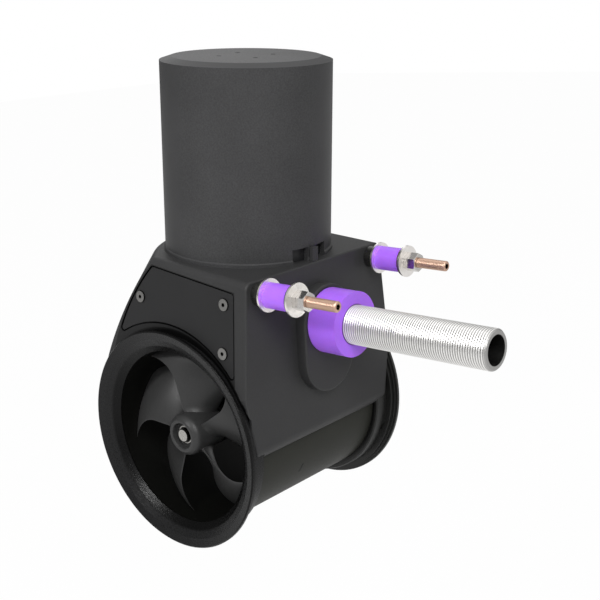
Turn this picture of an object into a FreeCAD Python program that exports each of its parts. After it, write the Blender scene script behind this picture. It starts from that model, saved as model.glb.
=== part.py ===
import FreeCAD, Part
import Sketcher
import math
import os

# Stern thruster that hangs on the outside of a transom.
# Origin: where the conduit's axis meets the transom's outer face.
# +X runs along the conduit into the boat, Y along the tunnel, +Z up. Lengths are millimetres.

Vector = FreeCAD.Vector
Rotation = FreeCAD.Rotation
Placement = FreeCAD.Placement

doc = FreeCAD.newDocument("stern_thruster")
sheet = doc.addObject("Spreadsheet::Sheet", "Sizes")

driving_sizes = {
    # fits
    "seat_gap": 0.3,
    "running_gap": 0.05,
    # where the tunnel lies below and behind the conduit, and how far the motor leans to the boat
    "tunnel_back": 91.6,
    "tunnel_drop": 88.7,
    "lean_angle": 4.6,
    # tunnel tube and its bell mouths
    "bore_radius": 70,
    "tube_wall": 5,
    "mouth_half": 90.5,
    "mouth_grip": 10.8,
    "mouth_radius": 88,
    "lip_flat": 1.0,
    "flare_share": 0.46,
    "flare_drop": 2.1,
    "throat_step": 5,
    "throat_depth": 5.8,
    "flare_depth": 4.2,
    "rim_width": 3.0,
    "step_share": 0.128,
    "rim_depth": 8.5,
    "collar_share": 0.4,
    "collar_depth": 13,
    "clip_count": 8,
    "clip_angle": 21,
    "clip_width": 6,
    "clip_share": 0.64,
    # saddle that carries everything, seen from the transom side
    "plate_back": 9.4,
    "plate_top": 44.8,
    "plate_bend": 41.3,
    "plate_foot": 93.4,
    "plate_half_top": 77.5,
    "plate_half_bend": 85.7,
    "plate_half_foot": 76.9,
    "deck_height": 139.2,
    "high_section": 33,
    "mid_section": 10,
    "low_section": 30,
    "back_edge_top": 98.5,
    "back_edge_high": 125,
    "back_edge_mid": 141.5,
    "back_edge_low": 163,
    "back_middle_top": 149.5,
    "back_middle_high": 155.5,
    "deck_margin": 3.5,
    "back_middle_mid": 160,
    "back_middle_low": 167.5,
    "back_edge_foot": 175.5,
    "back_middle_foot": 181.5,
    "back_foot": 60,
    "corner_round": 1.5,
    "foot_round": 11,
    "deck_round": 6,
    "pad_half": 28,
    "pad_drop": 28.5,
    "pad_round": 1.8,
    "well_radius": 24.5,
    "channel_radius": 11,
    "channel_back": 40,
    "riser_radius": 8.5,
    # side covers and their screws
    "cover_front": 22.6,
    "cover_top_front": 35,
    "cover_top_back": 45.7,
    "cover_back": 108.7,
    "cover_tail": 148.5,
    "cover_arc": 96,
    "cover_arc_back": 4.7,
    "cover_arc_drop": 3.2,
    "cover_bulge": 3.7,
    "cover_thick": 3,
    "cover_line": 1.2,
    "cover_inset": 0.5,
    "cover_round": 2,
    "pocket_margin": 6,
    "pocket_depth": 9,
    "screw_head_radius": 4.4,
    "screw_head_height": 2.6,
    "screw_radius": 2.5,
    "screw_length": 14,
    "screw_proud": 0.6,
    "screw_socket": 1.5,
    "boss_radius": 6,
    "back_screw_along": 14.2,
    "back_screw_drop": 24.7,
    "top_screw_along": 9.2,
    "top_screw_drop": 8.4,
    "low_screw_along": 10.6,
    "low_screw_drop": 44.8,
    # motor pot
    "pot_radius": 65.5,
    "pot_wall": 4,
    "pot_height": 145.4,
    "pot_crown": 2.8,
    "pot_flat_radius": 57,
    "pot_lip": 0.9,
    "pot_lip_height": 3.2,
    "latch_height": 11,
    "latch_width": 6,
    "window_width": 15,
    "dimple_circle": 21.5,
    "dimple_angle": 62,
    "dimple_radius": 2,
    "dimple_depth": 2,
    # motor base, seal and fasteners
    "base_thick": 8,
    "spigot_height": 20,
    "spigot_wall": 3.7,
    "seal_height": 14,
    "seal_radius": 1.2,
    "shaft_seal_radius": 11,
    "base_bolt_circle": 52.7,
    "bolt_radius": 2.5,
    "bolt_head_radius": 4.2,
    "bolt_head_height": 5,
    "bolt_socket": 2,
    "bolt_length": 22,
    # motor
    "yoke_radius": 48,
    "yoke_wall": 5,
    "motor_headroom": 12.2,
    "bell_thick": 7,
    "bell_hub_wall": 4,
    "magnet_thick": 5,
    "magnet_overhang": 16,
    "magnet_angle": 72,
    "air_gap": 0.8,
    "core_foot": 31,
    "core_margin": 44,
    "core_slots": 12,
    "slot_width": 5,
    "slot_depth": 11,
    "slot_wall": 2,
    "winding_end": 7,
    "commutator_radius": 19,
    "commutator_height": 12,
    "brush_width": 8,
    "brush_length": 12,
    "brush_height": 10,
    "holder_thick": 3,
    "motor_shaft_radius": 6,
    "bearing_radius": 16,
    "bearing_width": 9,
    "terminal_circle": 36,
    "terminal_radius": 3,
    "terminal_height": 12,
    # jaw coupling
    "hub_radius": 14,
    "hub_height": 11,
    "jaw_height": 6,
    "jaw_angle": 40,
    "jaw_play": 2.5,
    # gear leg inside the tunnel
    "pod_radius": 17,
    "pod_bore": 13.5,
    "pod_front": 44,
    "pod_rear": 22,
    "cap_length": 16,
    "cap_round": 13,
    "leg_half_thick": 12,
    "leg_half_chord": 21,
    "leg_flange_radius": 24,
    "leg_flange_top": 84,
    "coupling_rise": 10,
    "pinion_shaft_radius": 5,
    "pinion_bearing_radius": 9,
    "pinion_bearing_width": 8,
    "pinion_bearing_low": 18,
    "leg_seal_width": 4,
    "prop_shaft_radius": 5,
    "prop_bearing_width": 8,
    "prop_seal_width": 3,
    # bevel gears
    "pinion_teeth": 12,
    "crown_teeth": 18,
    "crown_pitch_radius": 11.5,
    "gear_face": 0.3,
    "gear_back": 3.8,
    "tooth_addendum": 0.65,
    "tooth_root_share": 0.42,
    "tooth_tip_share": 0.2,
    # propeller
    "hub_front": 75,
    "hub_back": 46.5,
    "prop_hub_radius": 17,
    "nose_length": 3.7,
    "nose_radius": 12.9,
    "nose_recess": 6,
    "blade_count": 5,
    "blade_tip_radius": 68.6,
    "blade_pitch": 150,
    "blade_front": 69.5,
    "blade_first_angle": 106,
    "blade_chord_angle": 52,
    "blade_skew_start": 40,
    "blade_skew": 18,
    "blade_corner_start": 46,
    "blade_corner_angle": 24,
    "blade_root_thick": 5,
    "blade_tip_thick": 1.8,
    "blade_edge_share": 0.35,
    "prop_nut_radius": 5.3,
    "prop_nut_height": 4.3,
    "prop_nut_collar": 7.2,
    "prop_nut_collar_height": 1.5,
    "pin_radius": 1.5,
    "pin_set_back": 4,
    # conduit and the studs through the transom
    "transom_thick": 25,
    "conduit_radius": 15,
    "conduit_bore": 10.9,
    "conduit_end": 146.3,
    "conduit_root": 22,
    "sleeve_radius": 25,
    "sleeve_seat": 1,
    "stud_spacing": 130,
    "stud_rise": 34.8,
    "stud_radius": 4,
    "stud_core_radius": 3.7,
    "stud_end": 63.8,
    "stud_root": 30,
    "stud_socket": 1.7,
    "stud_socket_depth": 6,
    "seat_ring_radius": 8.6,
    "gasket_radius": 11.5,
    "washer_radius": 12.3,
    "washer_thick": 1.5,
    "stud_sleeve_radius": 9.4,
    "gasket_thick": 1.3,
    "nut_flats": 13,
    "nut_height": 6.5,
    "thin_nut_height": 4,
    "nut_chamfer": 0.8,
}

# Sizes that follow from the driving ones: each mouth's socket fits over the tube, with its collar,
# steps and notches inside the wall around it, and the motor fills the pot.
fitted_sizes = {
    "tube_half": "=mouth_half - mouth_grip",
    "socket_radius": "=bore_radius + tube_wall + seat_gap",
    "mouth_wall": "=mouth_radius - socket_radius",
    "throat_radius": "=bore_radius + throat_step",
    "flare_radius": "=throat_radius + flare_share * (mouth_radius - throat_radius)",
    "rim_step": "=step_share * mouth_wall",
    "rim_back": "=mouth_half - rim_depth",
    "collar_wall": "=collar_share * mouth_wall",
    "collar_radius": "=socket_radius + collar_wall",
    "collar_back": "=rim_back - collar_depth",
    "clip_depth": "=clip_share * collar_wall",
    "yoke_height": "=pot_height + pot_crown - pot_wall - base_thick - 2 * bell_thick - terminal_height"
                   " - motor_headroom",
    "core_height": "=yoke_height - core_margin",
    "magnet_height": "=core_height + magnet_overhang",
}

for row, (alias, value) in enumerate({**driving_sizes, **fitted_sizes}.items(), start=1):
    sheet.set("A%d" % row, alias)
    sheet.set("B%d" % row, str(value))
    sheet.setAlias("B%d" % row, alias)
doc.recompute()


def size(alias):
    return float(sheet.get(alias))


seat_gap = size("seat_gap")
running_gap = size("running_gap")
tunnel_centre = Vector(-size("tunnel_back"), 0, -size("tunnel_drop"))

# Frames: each turned piece is drawn upright about its own Z and set into one of these.
far_side = Placement(tunnel_centre, Rotation(Vector(1, 0, 0), -90))
near_side = Placement(tunnel_centre, Rotation(Vector(1, 0, 0), 90))
motor_axis = Placement(tunnel_centre, Rotation(Vector(0, 1, 0), size("lean_angle")))
conduit_axis = Placement(Vector(0, 0, 0), Rotation(Vector(0, 1, 0), 90))

nodes = []


def keep(piece, label):
    piece.Label = label
    nodes.append(piece)
    return piece


def number_text(expression):
    return expression if isinstance(expression, str) else repr(float(expression))


def add_outline(body, plane_role, points, name):
    plane = [f for f in body.Origin.OriginFeatures if f.Role == plane_role][0]
    sketch = body.newObject("Sketcher::SketchObject", name)
    sketch.AttachmentSupport = [(plane, "")]
    sketch.MapMode = "FlatFace"
    count = len(points)
    for i in range(count):
        a = 2 * math.pi * i / count
        b = 2 * math.pi * (i + 1) / count
        start = Vector(10 * math.cos(a) + 20, 10 * math.sin(a), 0)
        end = Vector(10 * math.cos(b) + 20, 10 * math.sin(b), 0)
        sketch.addGeometry(Part.LineSegment(start, end))
    for i in range(count):
        sketch.addConstraint(Sketcher.Constraint("Coincident", i, 2, (i + 1) % count, 1))
    for i, point in enumerate(points):
        for kind, expression in zip(("DistanceX", "DistanceY"), point):
            index = sketch.addConstraint(Sketcher.Constraint(kind, -1, 1, i, 1, 1.0))
            sketch.setExpression("Constraints[%d]" % index, number_text(expression))
    return sketch


def turn(name, points, placement):
    # A piece turned about its own Z; the points are (radius, height).
    body = doc.addObject("PartDesign::Body", name)
    sketch = add_outline(body, "XZ_Plane", points, name + "_profile")
    feature = body.newObject("PartDesign::Revolution", name + "_turned")
    feature.Profile = (sketch, [""])
    feature.ReferenceAxis = (sketch, ["V_Axis"])
    feature.Angle = 360
    body.Placement = placement
    return body


def ring_points(inner, outer, low, high):
    return [(inner, low), (outer, low), (outer, high), (inner, high)]


def turned_ring(name, inner, outer, low, high, placement):
    return turn(name, ring_points(inner, outer, low, high), placement)


def solid_feature(name, shape):
    feature = doc.addObject("Part::Feature", name)
    feature.Shape = shape
    return feature


def shape_of(piece):
    doc.recompute()
    return piece.Shape.copy()


def placed(shape, placement):
    moved = shape.copy()
    moved.Placement = placement.multiply(moved.Placement)
    return moved


def mirrored(shape):
    return shape.mirror(Vector(0, 0, 0), Vector(0, 1, 0))


def cylinder(radius, low, high, placement, sideways=Vector(0, 0, 0)):
    shape = Part.makeCylinder(radius, high - low, sideways + Vector(0, 0, low))
    return placed(shape, placement)


def around(shape, count, placement, first_angle=0.0):
    # Copies of a shape drawn upright, spaced evenly about Z and then set into a frame.
    copies = []
    for i in range(count):
        copy = shape.copy()
        copy.rotate(Vector(0, 0, 0), Vector(0, 0, 1), first_angle + 360.0 * i / count)
        copies.append(placed(copy, placement))
    return copies


def group(name, shapes):
    return solid_feature(name, Part.makeCompound(shapes))


# The tunnel: a plain tube with a bell mouth pushed over each end.

def leg_section(grow, low, high):
    # The streamlined strut's oval, long way along the tunnel, between two heights on the motor's axis.
    oval = Part.Ellipse(Vector(0, 0, low), size("leg_half_chord") + grow, size("leg_half_thick") + grow)
    face = Part.Face(Part.Wire([oval.toShape()]))
    face.rotate(Vector(0, 0, 0), Vector(0, 0, 1), 90)
    return placed(face.extrude(Vector(0, 0, high - low)), motor_axis)


tube_blank = turned_ring("tube_blank", "Sizes.bore_radius", "Sizes.bore_radius + Sizes.tube_wall",
                         "-Sizes.tube_half", "Sizes.tube_half", far_side)
tube_shape = shape_of(tube_blank).cut(leg_section(seat_gap, size("bore_radius") / 2, size("deck_height")))
tunnel_tube = keep(solid_feature("tunnel_tube", tube_shape), "tunnel_tube")


def bell_mouth_points():
    shoulder = "Sizes.tube_half + Sizes.seat_gap"
    throat = "Sizes.mouth_half - Sizes.throat_depth"
    step = "Sizes.mouth_radius - Sizes.rim_step"
    second_step = "Sizes.mouth_radius - 2 * Sizes.rim_step"
    first_back = "Sizes.mouth_half - Sizes.rim_width"
    return [
        ("Sizes.socket_radius", "Sizes.collar_back"),
        ("Sizes.collar_radius - Sizes.lip_flat", "Sizes.collar_back"),
        ("Sizes.collar_radius", "Sizes.collar_back + Sizes.lip_flat"),
        ("Sizes.collar_radius", "Sizes.rim_back"),
        (second_step, "Sizes.rim_back"),
        (second_step, "Sizes.rim_back + Sizes.rim_width"),
        (step, "Sizes.rim_back + Sizes.rim_width"),
        (step, first_back),
        ("Sizes.mouth_radius", first_back),
        ("Sizes.mouth_radius", "Sizes.mouth_half - Sizes.lip_flat"),
        ("Sizes.mouth_radius - Sizes.lip_flat", "Sizes.mouth_half"),
        ("Sizes.flare_radius", "Sizes.mouth_half - Sizes.flare_drop"),
        ("Sizes.throat_radius", throat),
        ("Sizes.bore_radius", throat + " - Sizes.flare_depth"),
        ("Sizes.bore_radius", shoulder),
        ("Sizes.socket_radius", shoulder),
    ]


def bell_mouth(name, frame, first_angle):
    # The notches behind the rim take the clips of a protecting grille.
    blank = turn(name + "_blank", bell_mouth_points(), Placement())
    depth = size("clip_depth")
    corner = Vector(size("collar_radius") - depth, -size("clip_width") / 2, size("rim_back") - depth)
    notch = Part.makeBox(size("mouth_radius"), size("clip_width"), depth, corner)
    shape = placed(shape_of(blank), frame)
    shape = shape.cut(around(notch, int(size("clip_count")), frame, first_angle))
    return keep(solid_feature(name, shape), name)


near_bell_mouth = bell_mouth("near_bell_mouth", near_side, size("clip_angle"))
far_bell_mouth = bell_mouth("far_bell_mouth", far_side, size("clip_angle"))


# The saddle: a moulding with a flat front plate, sides that spread downwards and a rounded back.

plate_x = -size("plate_back")
deck = size("deck_height")
lean = math.radians(size("lean_angle"))
side_slope = (size("plate_half_bend") - size("plate_half_top")) / (size("plate_top") + size("plate_bend"))
side_angle = math.degrees(math.atan(side_slope))


def half_width(z):
    return size("plate_half_top") + side_slope * (size("plate_top") - z)


def deck_z(x):
    # Height of the deck, square to the motor's axis, above a place on X.
    reach = x + size("tunnel_back")
    return -size("tunnel_drop") + (deck - reach * math.sin(lean)) / math.cos(lean)


def plan_section(z, back_edge, back_middle, back_radius=0.0):
    # A section wider and longer than the saddle, apart from its back: an arc across the middle
    # plane at back_middle that runs on, straight and tangent, to the side faces at back_edge.
    width = half_width(z)
    bulge = back_middle - back_edge
    radius = back_radius or (width ** 2 + bulge ** 2) / (2 * bulge)
    centre = radius - back_middle
    reach = math.hypot(back_edge + centre, width)
    turn_angle = math.atan2(width, back_edge + centre) - math.acos(min(1.0, radius / reach))
    outside = width + 3

    def back(y):
        if abs(y) < radius * math.sin(turn_angle):
            return Vector(centre - math.sqrt(radius ** 2 - y ** 2), y, z)
        line_start = centre - radius * math.cos(turn_angle)
        along = abs(y) - radius * math.sin(turn_angle)
        return Vector(line_start + along * math.tan(turn_angle), y, z)

    shares = (1.0, 0.88, 0.75, 0.6, 0.4, 0.2, 0.0)
    places = [back(share * outside) for share in shares] + [back(-share * outside) for share in shares[-2::-1]]
    curve = Part.BSplineCurve()
    curve.interpolate(places)
    front = plate_x + 5
    corners = [places[-1], Vector(front, -outside, z), Vector(front, outside, z), places[0]]
    edges = [Part.LineSegment(a, b).toShape() for a, b in zip(corners[:-1], corners[1:])]
    edges.append(curve.toShape())
    return Part.Wire(edges)


def side_prism(points, half):
    # A block with its outline in XZ, reaching the same distance to both sides.
    corners = [Vector(x, -half, z) for x, z in points]
    face = Part.Face(Part.makePolygon(corners + corners[:1]))
    return face.extrude(Vector(0, 2 * half, 0))


def saddle_body():
    high = deck_z(-size("back_middle_top")) + 5
    low = -size("plate_foot") - 5
    sections = [
        plan_section(high, size("back_edge_top"), size("back_middle_top"), size("pot_radius") + size("deck_margin")),
        plan_section(size("high_section"), size("back_edge_high"), size("back_middle_high")),
        plan_section(size("mid_section"), size("back_edge_mid"), size("back_middle_mid")),
        plan_section(-size("low_section"), size("back_edge_low"), size("back_middle_low")),
        plan_section(low, size("back_edge_foot"), size("back_middle_foot")),
    ]
    hull = Part.makeLoft(sections, True, False)
    front_outline = [
        Vector(0, -size("plate_half_foot"), -size("plate_foot")),
        Vector(0, size("plate_half_foot"), -size("plate_foot")),
        Vector(0, size("plate_half_bend"), -size("plate_bend")),
        Vector(0, half_width(high), high),
        Vector(0, -half_width(high), high),
        Vector(0, -size("plate_half_bend"), -size("plate_bend")),
    ]
    front_face = Part.Face(Part.makePolygon(front_outline + front_outline[:1]))
    back = -size("back_middle_foot") - size("tunnel_back")
    front_face.translate(Vector(back, 0, 0))
    front_block = front_face.extrude(Vector(-2 * back, 0, 0))
    profile = [
        (plate_x, -size("plate_foot")),
        (plate_x, deck_z(plate_x)),
        (back, deck_z(back)),
        (back, -size("back_foot")),
        (-size("tunnel_back") - size("bore_radius") * 0.5, -size("back_foot")),
        (-size("tunnel_back") + size("bore_radius") * 0.5, -size("plate_foot")),
    ]
    body = hull.common(front_block).common(side_prism(profile, 2 * size("plate_half_bend")))
    return body


def on_front(edge):
    return all(abs(v.X - plate_x) < 0.01 for v in edge.Vertexes)


def on_deck(edge):
    return all(abs(v.Z - deck_z(v.X)) < 0.01 for v in edge.Vertexes)


def on_foot_corner(edge):
    foot = -size("plate_foot")
    side = size("plate_half_foot")
    return all(abs(v.Z - foot) < 0.01 and abs(abs(v.Y) - side) < 0.01 for v in edge.Vertexes)


def rounded_saddle():
    body = saddle_body()
    body = body.makeFillet(size("foot_round"), [e for e in body.Edges if on_foot_corner(e)])
    deck_edges = [e for e in body.Edges if on_deck(e) and not on_front(e)]
    body = body.makeFillet(size("deck_round"), deck_edges)
    front_edges = [e for e in body.Edges if on_front(e)]
    return body.makeFillet(size("corner_round"), front_edges)


def conduit_pad():
    # An upright oval boss that the conduit passes through, flush with the transom.
    half = size("pad_half")
    drop = size("pad_drop")
    inside = plate_x - 6
    upper = cylinder(half, inside, 0, conduit_axis)
    lower = cylinder(half, inside, 0, conduit_axis, Vector(drop, 0, 0))
    middle = Part.makeBox(-inside, 2 * half, drop, Vector(inside, -half, -drop))
    pad = upper.fuse([lower, middle]).removeSplitter()
    rim = [e for e in pad.Edges if all(abs(v.X) < 0.01 for v in e.Vertexes)]
    return pad.makeFillet(size("pad_round"), rim)


def side_frame(x, z, inset=0.0):
    # Set on the near side face, with Z pointing out of it.
    y = -half_width(z)
    rotation = Rotation(Vector(1, 0, 0), 90 - side_angle)
    frame = Placement(Vector(x, y, z), rotation)
    return frame.multiply(Placement(Vector(0, 0, -inset), Rotation()))


def side_slab(outer, inner):
    # Everything between two depths below the near side face.
    thickness = inner - outer
    reach = size("tunnel_back") + size("back_middle_foot")
    slab = Part.makeBox(2 * reach, 2 * reach, thickness, Vector(-reach, -reach, -inner))
    return placed(slab, side_frame(tunnel_centre.x, 0))


def cover_wire():
    arc = size("cover_arc")
    arc_x = tunnel_centre.x - size("cover_arc_back")
    arc_z = tunnel_centre.z - size("cover_arc_drop")
    front = -size("cover_front")
    front_foot = arc_z + math.sqrt(arc ** 2 - (front - arc_x) ** 2)
    tail = -size("cover_tail")
    tail_foot = arc_z + math.sqrt(arc ** 2 - (tail - arc_x) ** 2)
    top_front = Vector(front, 0, size("cover_top_front"))
    top_back = Vector(-size("cover_back"), 0, size("cover_top_back"))
    front_low = Vector(front, 0, front_foot)
    tail_low = Vector(tail, 0, tail_foot)
    crown = Vector(arc_x, 0, arc_z + arc)
    middle = (top_back + tail_low) * 0.5
    across = (top_back - tail_low).normalize()
    bulge = middle + Vector(-across.z, 0, across.x) * size("cover_bulge")
    return Part.Wire([
        Part.LineSegment(top_back, top_front).toShape(),
        Part.LineSegment(top_front, front_low).toShape(),
        Part.Arc(front_low, crown, tail_low).toShape(),
        Part.Arc(tail_low, bulge, top_back).toShape(),
    ])


def cover_block(grow):
    # The cover's outline, grown or shrunk, run far out to the near side. Growing it back from a
    # smaller outline rounds its corners.
    if grow < 0:
        wire = cover_wire().makeOffset2D(grow)
    else:
        wire = cover_wire().makeOffset2D(-size("cover_round")).makeOffset2D(size("cover_round") + grow)
    face = Part.Face(wire)
    face.translate(Vector(0, -20, 0))
    return face.extrude(Vector(0, -2 * size("plate_half_bend"), 0))


cover_screw_places = [
    (-size("cover_back") - size("back_screw_along"), size("cover_top_back") - size("back_screw_drop")),
    (-size("cover_front") - size("top_screw_along"), size("cover_top_front") - size("top_screw_drop")),
    (-size("cover_front") - size("low_screw_along"), size("cover_top_front") - size("low_screw_drop")),
]


def saddle():
    tube_outer = size("bore_radius") + size("tube_wall")
    shape = rounded_saddle().fuse(conduit_pad()).removeSplitter()
    reach = size("mouth_half") + 20
    tools = [cylinder(tube_outer + seat_gap, -reach, reach, far_side)]
    for frame in (near_side, far_side):
        tools.append(cylinder(size("collar_radius") + seat_gap, size("collar_back") - seat_gap, reach, frame))
        tools.append(cylinder(size("mouth_radius") + seat_gap, size("rim_back") - seat_gap, reach, frame))
    recess = cover_block(size("cover_line")).common(side_slab(-20, size("cover_thick")))
    pocket_floor = size("cover_thick") + size("pocket_depth")
    pocket = cover_block(-size("pocket_margin")).common(side_slab(-20, pocket_floor))
    for x, z in cover_screw_places:
        boss = cylinder(size("boss_radius"), -pocket_floor - 1, -size("cover_thick"), side_frame(x, z))
        pocket = pocket.cut(boss)
    holes = [cylinder(size("screw_radius") + seat_gap, -size("screw_length") - 1, 0, side_frame(x, z))
             for x, z in cover_screw_places]
    for cutter in [recess, pocket] + holes:
        tools.append(cutter)
        tools.append(mirrored(cutter))
    tools.append(cylinder(size("well_radius"), tube_outer - 10, deck + 10, motor_axis))
    conduit_seat = -size("conduit_root") - seat_gap
    stud_seat = -size("stud_root") - seat_gap
    tools.append(cylinder(size("conduit_radius"), conduit_seat, 10, conduit_axis))
    tools.append(cylinder(size("sleeve_radius") + seat_gap, -size("sleeve_seat"), 10, conduit_axis))
    tools.append(cylinder(size("channel_radius"), -size("channel_back"), 0, conduit_axis))
    tools.append(cylinder(size("riser_radius"), tube_outer, deck + 10, motor_axis, riser_place))
    for side in (-1, 1):
        place = Vector(-size("stud_rise"), side * size("stud_spacing") / 2, 0)
        tools.append(cylinder(size("stud_core_radius") + seat_gap, stud_seat, 10, conduit_axis, place))
    bolt_foot = Vector(size("base_bolt_circle"), 0, deck + size("base_thick") - size("bolt_length") - 1)
    bolt_hole = Part.makeCylinder(size("bolt_radius") + seat_gap, size("bolt_length"), bolt_foot)
    tools += around(bolt_hole, 4, motor_axis, 45)
    return shape.cut(tools).fuse(latch_tab()).removeSplitter()


def latch_tab():
    # A tab that stands up from the deck in front of the pot, between the pot's two windows.
    inner = size("pot_radius") + size("pot_lip") + seat_gap
    deck_front = (plate_x - tunnel_centre.x - deck * math.sin(lean)) / math.cos(lean)
    outer = deck_front - size("corner_round")
    tab = Part.makeBox(outer - inner, size("latch_width"), size("latch_height") + 1,
                       Vector(inner, -size("latch_width") / 2, deck - 1))
    return placed(tab, motor_axis)


riser_place = Vector(size("pot_radius") - size("pot_wall") - 3 * size("riser_radius") + 3, 0, 0)
mounting_saddle = keep(solid_feature("mounting_saddle", saddle()), "mounting_saddle")

cover_shape = cover_block(0).common(side_slab(size("cover_inset"), size("cover_thick") - seat_gap / 3))
for x, z in cover_screw_places:
    head_seat = size("screw_proud") - size("screw_head_height")
    head_hole = cylinder(size("screw_head_radius") + seat_gap, head_seat, 5, side_frame(x, z))
    shank_hole = cylinder(size("screw_radius") + seat_gap, -10, 5, side_frame(x, z))
    cover_shape = cover_shape.cut([head_hole, shank_hole])
near_side_cover = keep(solid_feature("near_side_cover", cover_shape), "near_side_cover")
far_side_cover = keep(solid_feature("far_side_cover", mirrored(cover_shape)), "far_side_cover")


# The motor pot: an upturned can with a bevelled crown, a thin lip on the deck and two windows by the latch.

deck_level = "Sizes.deck_height"


def above_deck(expression):
    return "Sizes.deck_height + " + expression


def pot_points():
    bore = "Sizes.pot_radius - Sizes.pot_wall"
    lip = "Sizes.pot_radius + Sizes.pot_lip"
    crown = above_deck("Sizes.pot_height + Sizes.pot_crown")
    return [
        (bore, deck_level),
        (lip, deck_level),
        (lip, above_deck("Sizes.pot_lip_height - Sizes.pot_lip")),
        ("Sizes.pot_radius", above_deck("Sizes.pot_lip_height")),
        ("Sizes.pot_radius", above_deck("Sizes.pot_height")),
        ("Sizes.pot_flat_radius", crown),
        ("0", crown),
        ("0", crown + " - Sizes.pot_wall"),
        ("Sizes.pot_flat_radius - Sizes.pot_wall", crown + " - Sizes.pot_wall"),
        (bore, above_deck("Sizes.pot_height - Sizes.pot_wall")),
    ]


def motor_pot():
    shape = shape_of(turn("pot_blank", pot_points(), Placement()))
    start = size("latch_width") / 2 + seat_gap
    width = size("window_width")
    for side in (-1, 1):
        near_edge = start if side > 0 else -start - width
        window = Part.makeBox(size("pot_wall") * 3, width, size("latch_height"),
                              Vector(size("pot_radius") - 2 * size("pot_wall"), near_edge, deck))
        shape = shape.cut(window)
    crown = deck + size("pot_height") + size("pot_crown")
    dimple_foot = Vector(size("dimple_circle"), 0, crown - size("dimple_depth"))
    dimple = Part.makeCylinder(size("dimple_radius"), size("dimple_depth") + 1, dimple_foot)
    shape = placed(shape, motor_axis)
    return shape.cut(around(dimple, 4, motor_axis, size("dimple_angle")))


keep(solid_feature("motor_pot", motor_pot()), "motor_pot")


def motor_base_points():
    outer = "Sizes.pot_radius - Sizes.pot_wall - Sizes.seat_gap"
    inner = outer + " - Sizes.spigot_wall"
    groove = outer + " - 2 * Sizes.seal_radius"
    groove_low = above_deck("Sizes.seal_height - Sizes.seal_radius - Sizes.seat_gap")
    groove_high = above_deck("Sizes.seal_height + Sizes.seal_radius + Sizes.seat_gap")
    return [
        ("Sizes.shaft_seal_radius + Sizes.seat_gap", deck_level),
        (outer, deck_level),
        (outer, groove_low),
        (groove, groove_low),
        (groove, groove_high),
        (outer, groove_high),
        (outer, above_deck("Sizes.spigot_height")),
        (inner, above_deck("Sizes.spigot_height")),
        (inner, above_deck("Sizes.base_thick")),
        ("Sizes.shaft_seal_radius + Sizes.seat_gap", above_deck("Sizes.base_thick")),
    ]


base_bolt_foot = deck + size("base_thick") - size("bolt_length")


def motor_base():
    shape = shape_of(turn("base_blank", motor_base_points(), motor_axis))
    hole = Part.makeCylinder(size("bolt_radius") + seat_gap, size("base_thick") + 2,
                             Vector(size("base_bolt_circle"), 0, deck - 1))
    riser = cylinder(size("riser_radius"), deck - 1, deck + size("base_thick") + 1, motor_axis, riser_place)
    return shape.cut(around(hole, 4, motor_axis, 45) + [riser])


keep(solid_feature("motor_base", motor_base()), "motor_base")

base_bolt_points = [
    (0, 0),
    ("Sizes.bolt_radius", 0),
    ("Sizes.bolt_radius", "Sizes.bolt_length"),
    ("Sizes.bolt_head_radius", "Sizes.bolt_length"),
    ("Sizes.bolt_head_radius", "Sizes.bolt_length + Sizes.bolt_head_height"),
    ("Sizes.bolt_socket", "Sizes.bolt_length + Sizes.bolt_head_height"),
    ("Sizes.bolt_socket", "Sizes.bolt_length + Sizes.bolt_head_height / 2"),
    (0, "Sizes.bolt_length + Sizes.bolt_head_height / 2"),
]
base_bolt = shape_of(turn("base_bolt", base_bolt_points, Placement()))
base_bolt.translate(Vector(size("base_bolt_circle"), 0, base_bolt_foot))
keep(group("motor_base_bolts", around(base_bolt, 4, motor_axis, 45)), "motor_base_bolts")


def pot_seal_points():
    # A squeezed round cord: a flat on each of its four sides and the corners taken off.
    middle = "Sizes.pot_radius - Sizes.pot_wall - Sizes.seal_radius - Sizes.seat_gap / 6"
    flat = "Sizes.seal_radius * 0.4"
    inner = middle + " - Sizes.seal_radius"
    outer = middle + " + Sizes.seal_radius"
    low = above_deck("Sizes.seal_height - Sizes.seal_radius")
    high = above_deck("Sizes.seal_height + Sizes.seal_radius")
    lower_flat = above_deck("Sizes.seal_height - " + flat)
    upper_flat = above_deck("Sizes.seal_height + " + flat)
    return [
        (middle + " - " + flat, low),
        (middle + " + " + flat, low),
        (outer, lower_flat),
        (outer, upper_flat),
        (middle + " + " + flat, high),
        (middle + " - " + flat, high),
        (inner, upper_flat),
        (inner, lower_flat),
    ]


keep(turn("pot_seal", pot_seal_points(), motor_axis), "pot_seal")

shaft_bore = "Sizes.motor_shaft_radius + Sizes.running_gap"
keep(turned_ring("motor_shaft_seal", shaft_bore, "Sizes.shaft_seal_radius", deck_level,
                 above_deck("Sizes.base_thick"), motor_axis), "motor_shaft_seal")

# The motor: yoke, end bells, bearings, magnets and brushes stand still.

yoke_foot = "Sizes.base_thick + Sizes.bell_thick"
motor_top = "Sizes.base_thick + 2 * Sizes.bell_thick + Sizes.yoke_height"
keep(turned_ring("motor_yoke", "Sizes.yoke_radius - Sizes.yoke_wall", "Sizes.yoke_radius",
                 above_deck(yoke_foot), above_deck(yoke_foot + " + Sizes.yoke_height"), motor_axis), "motor_yoke")


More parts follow.
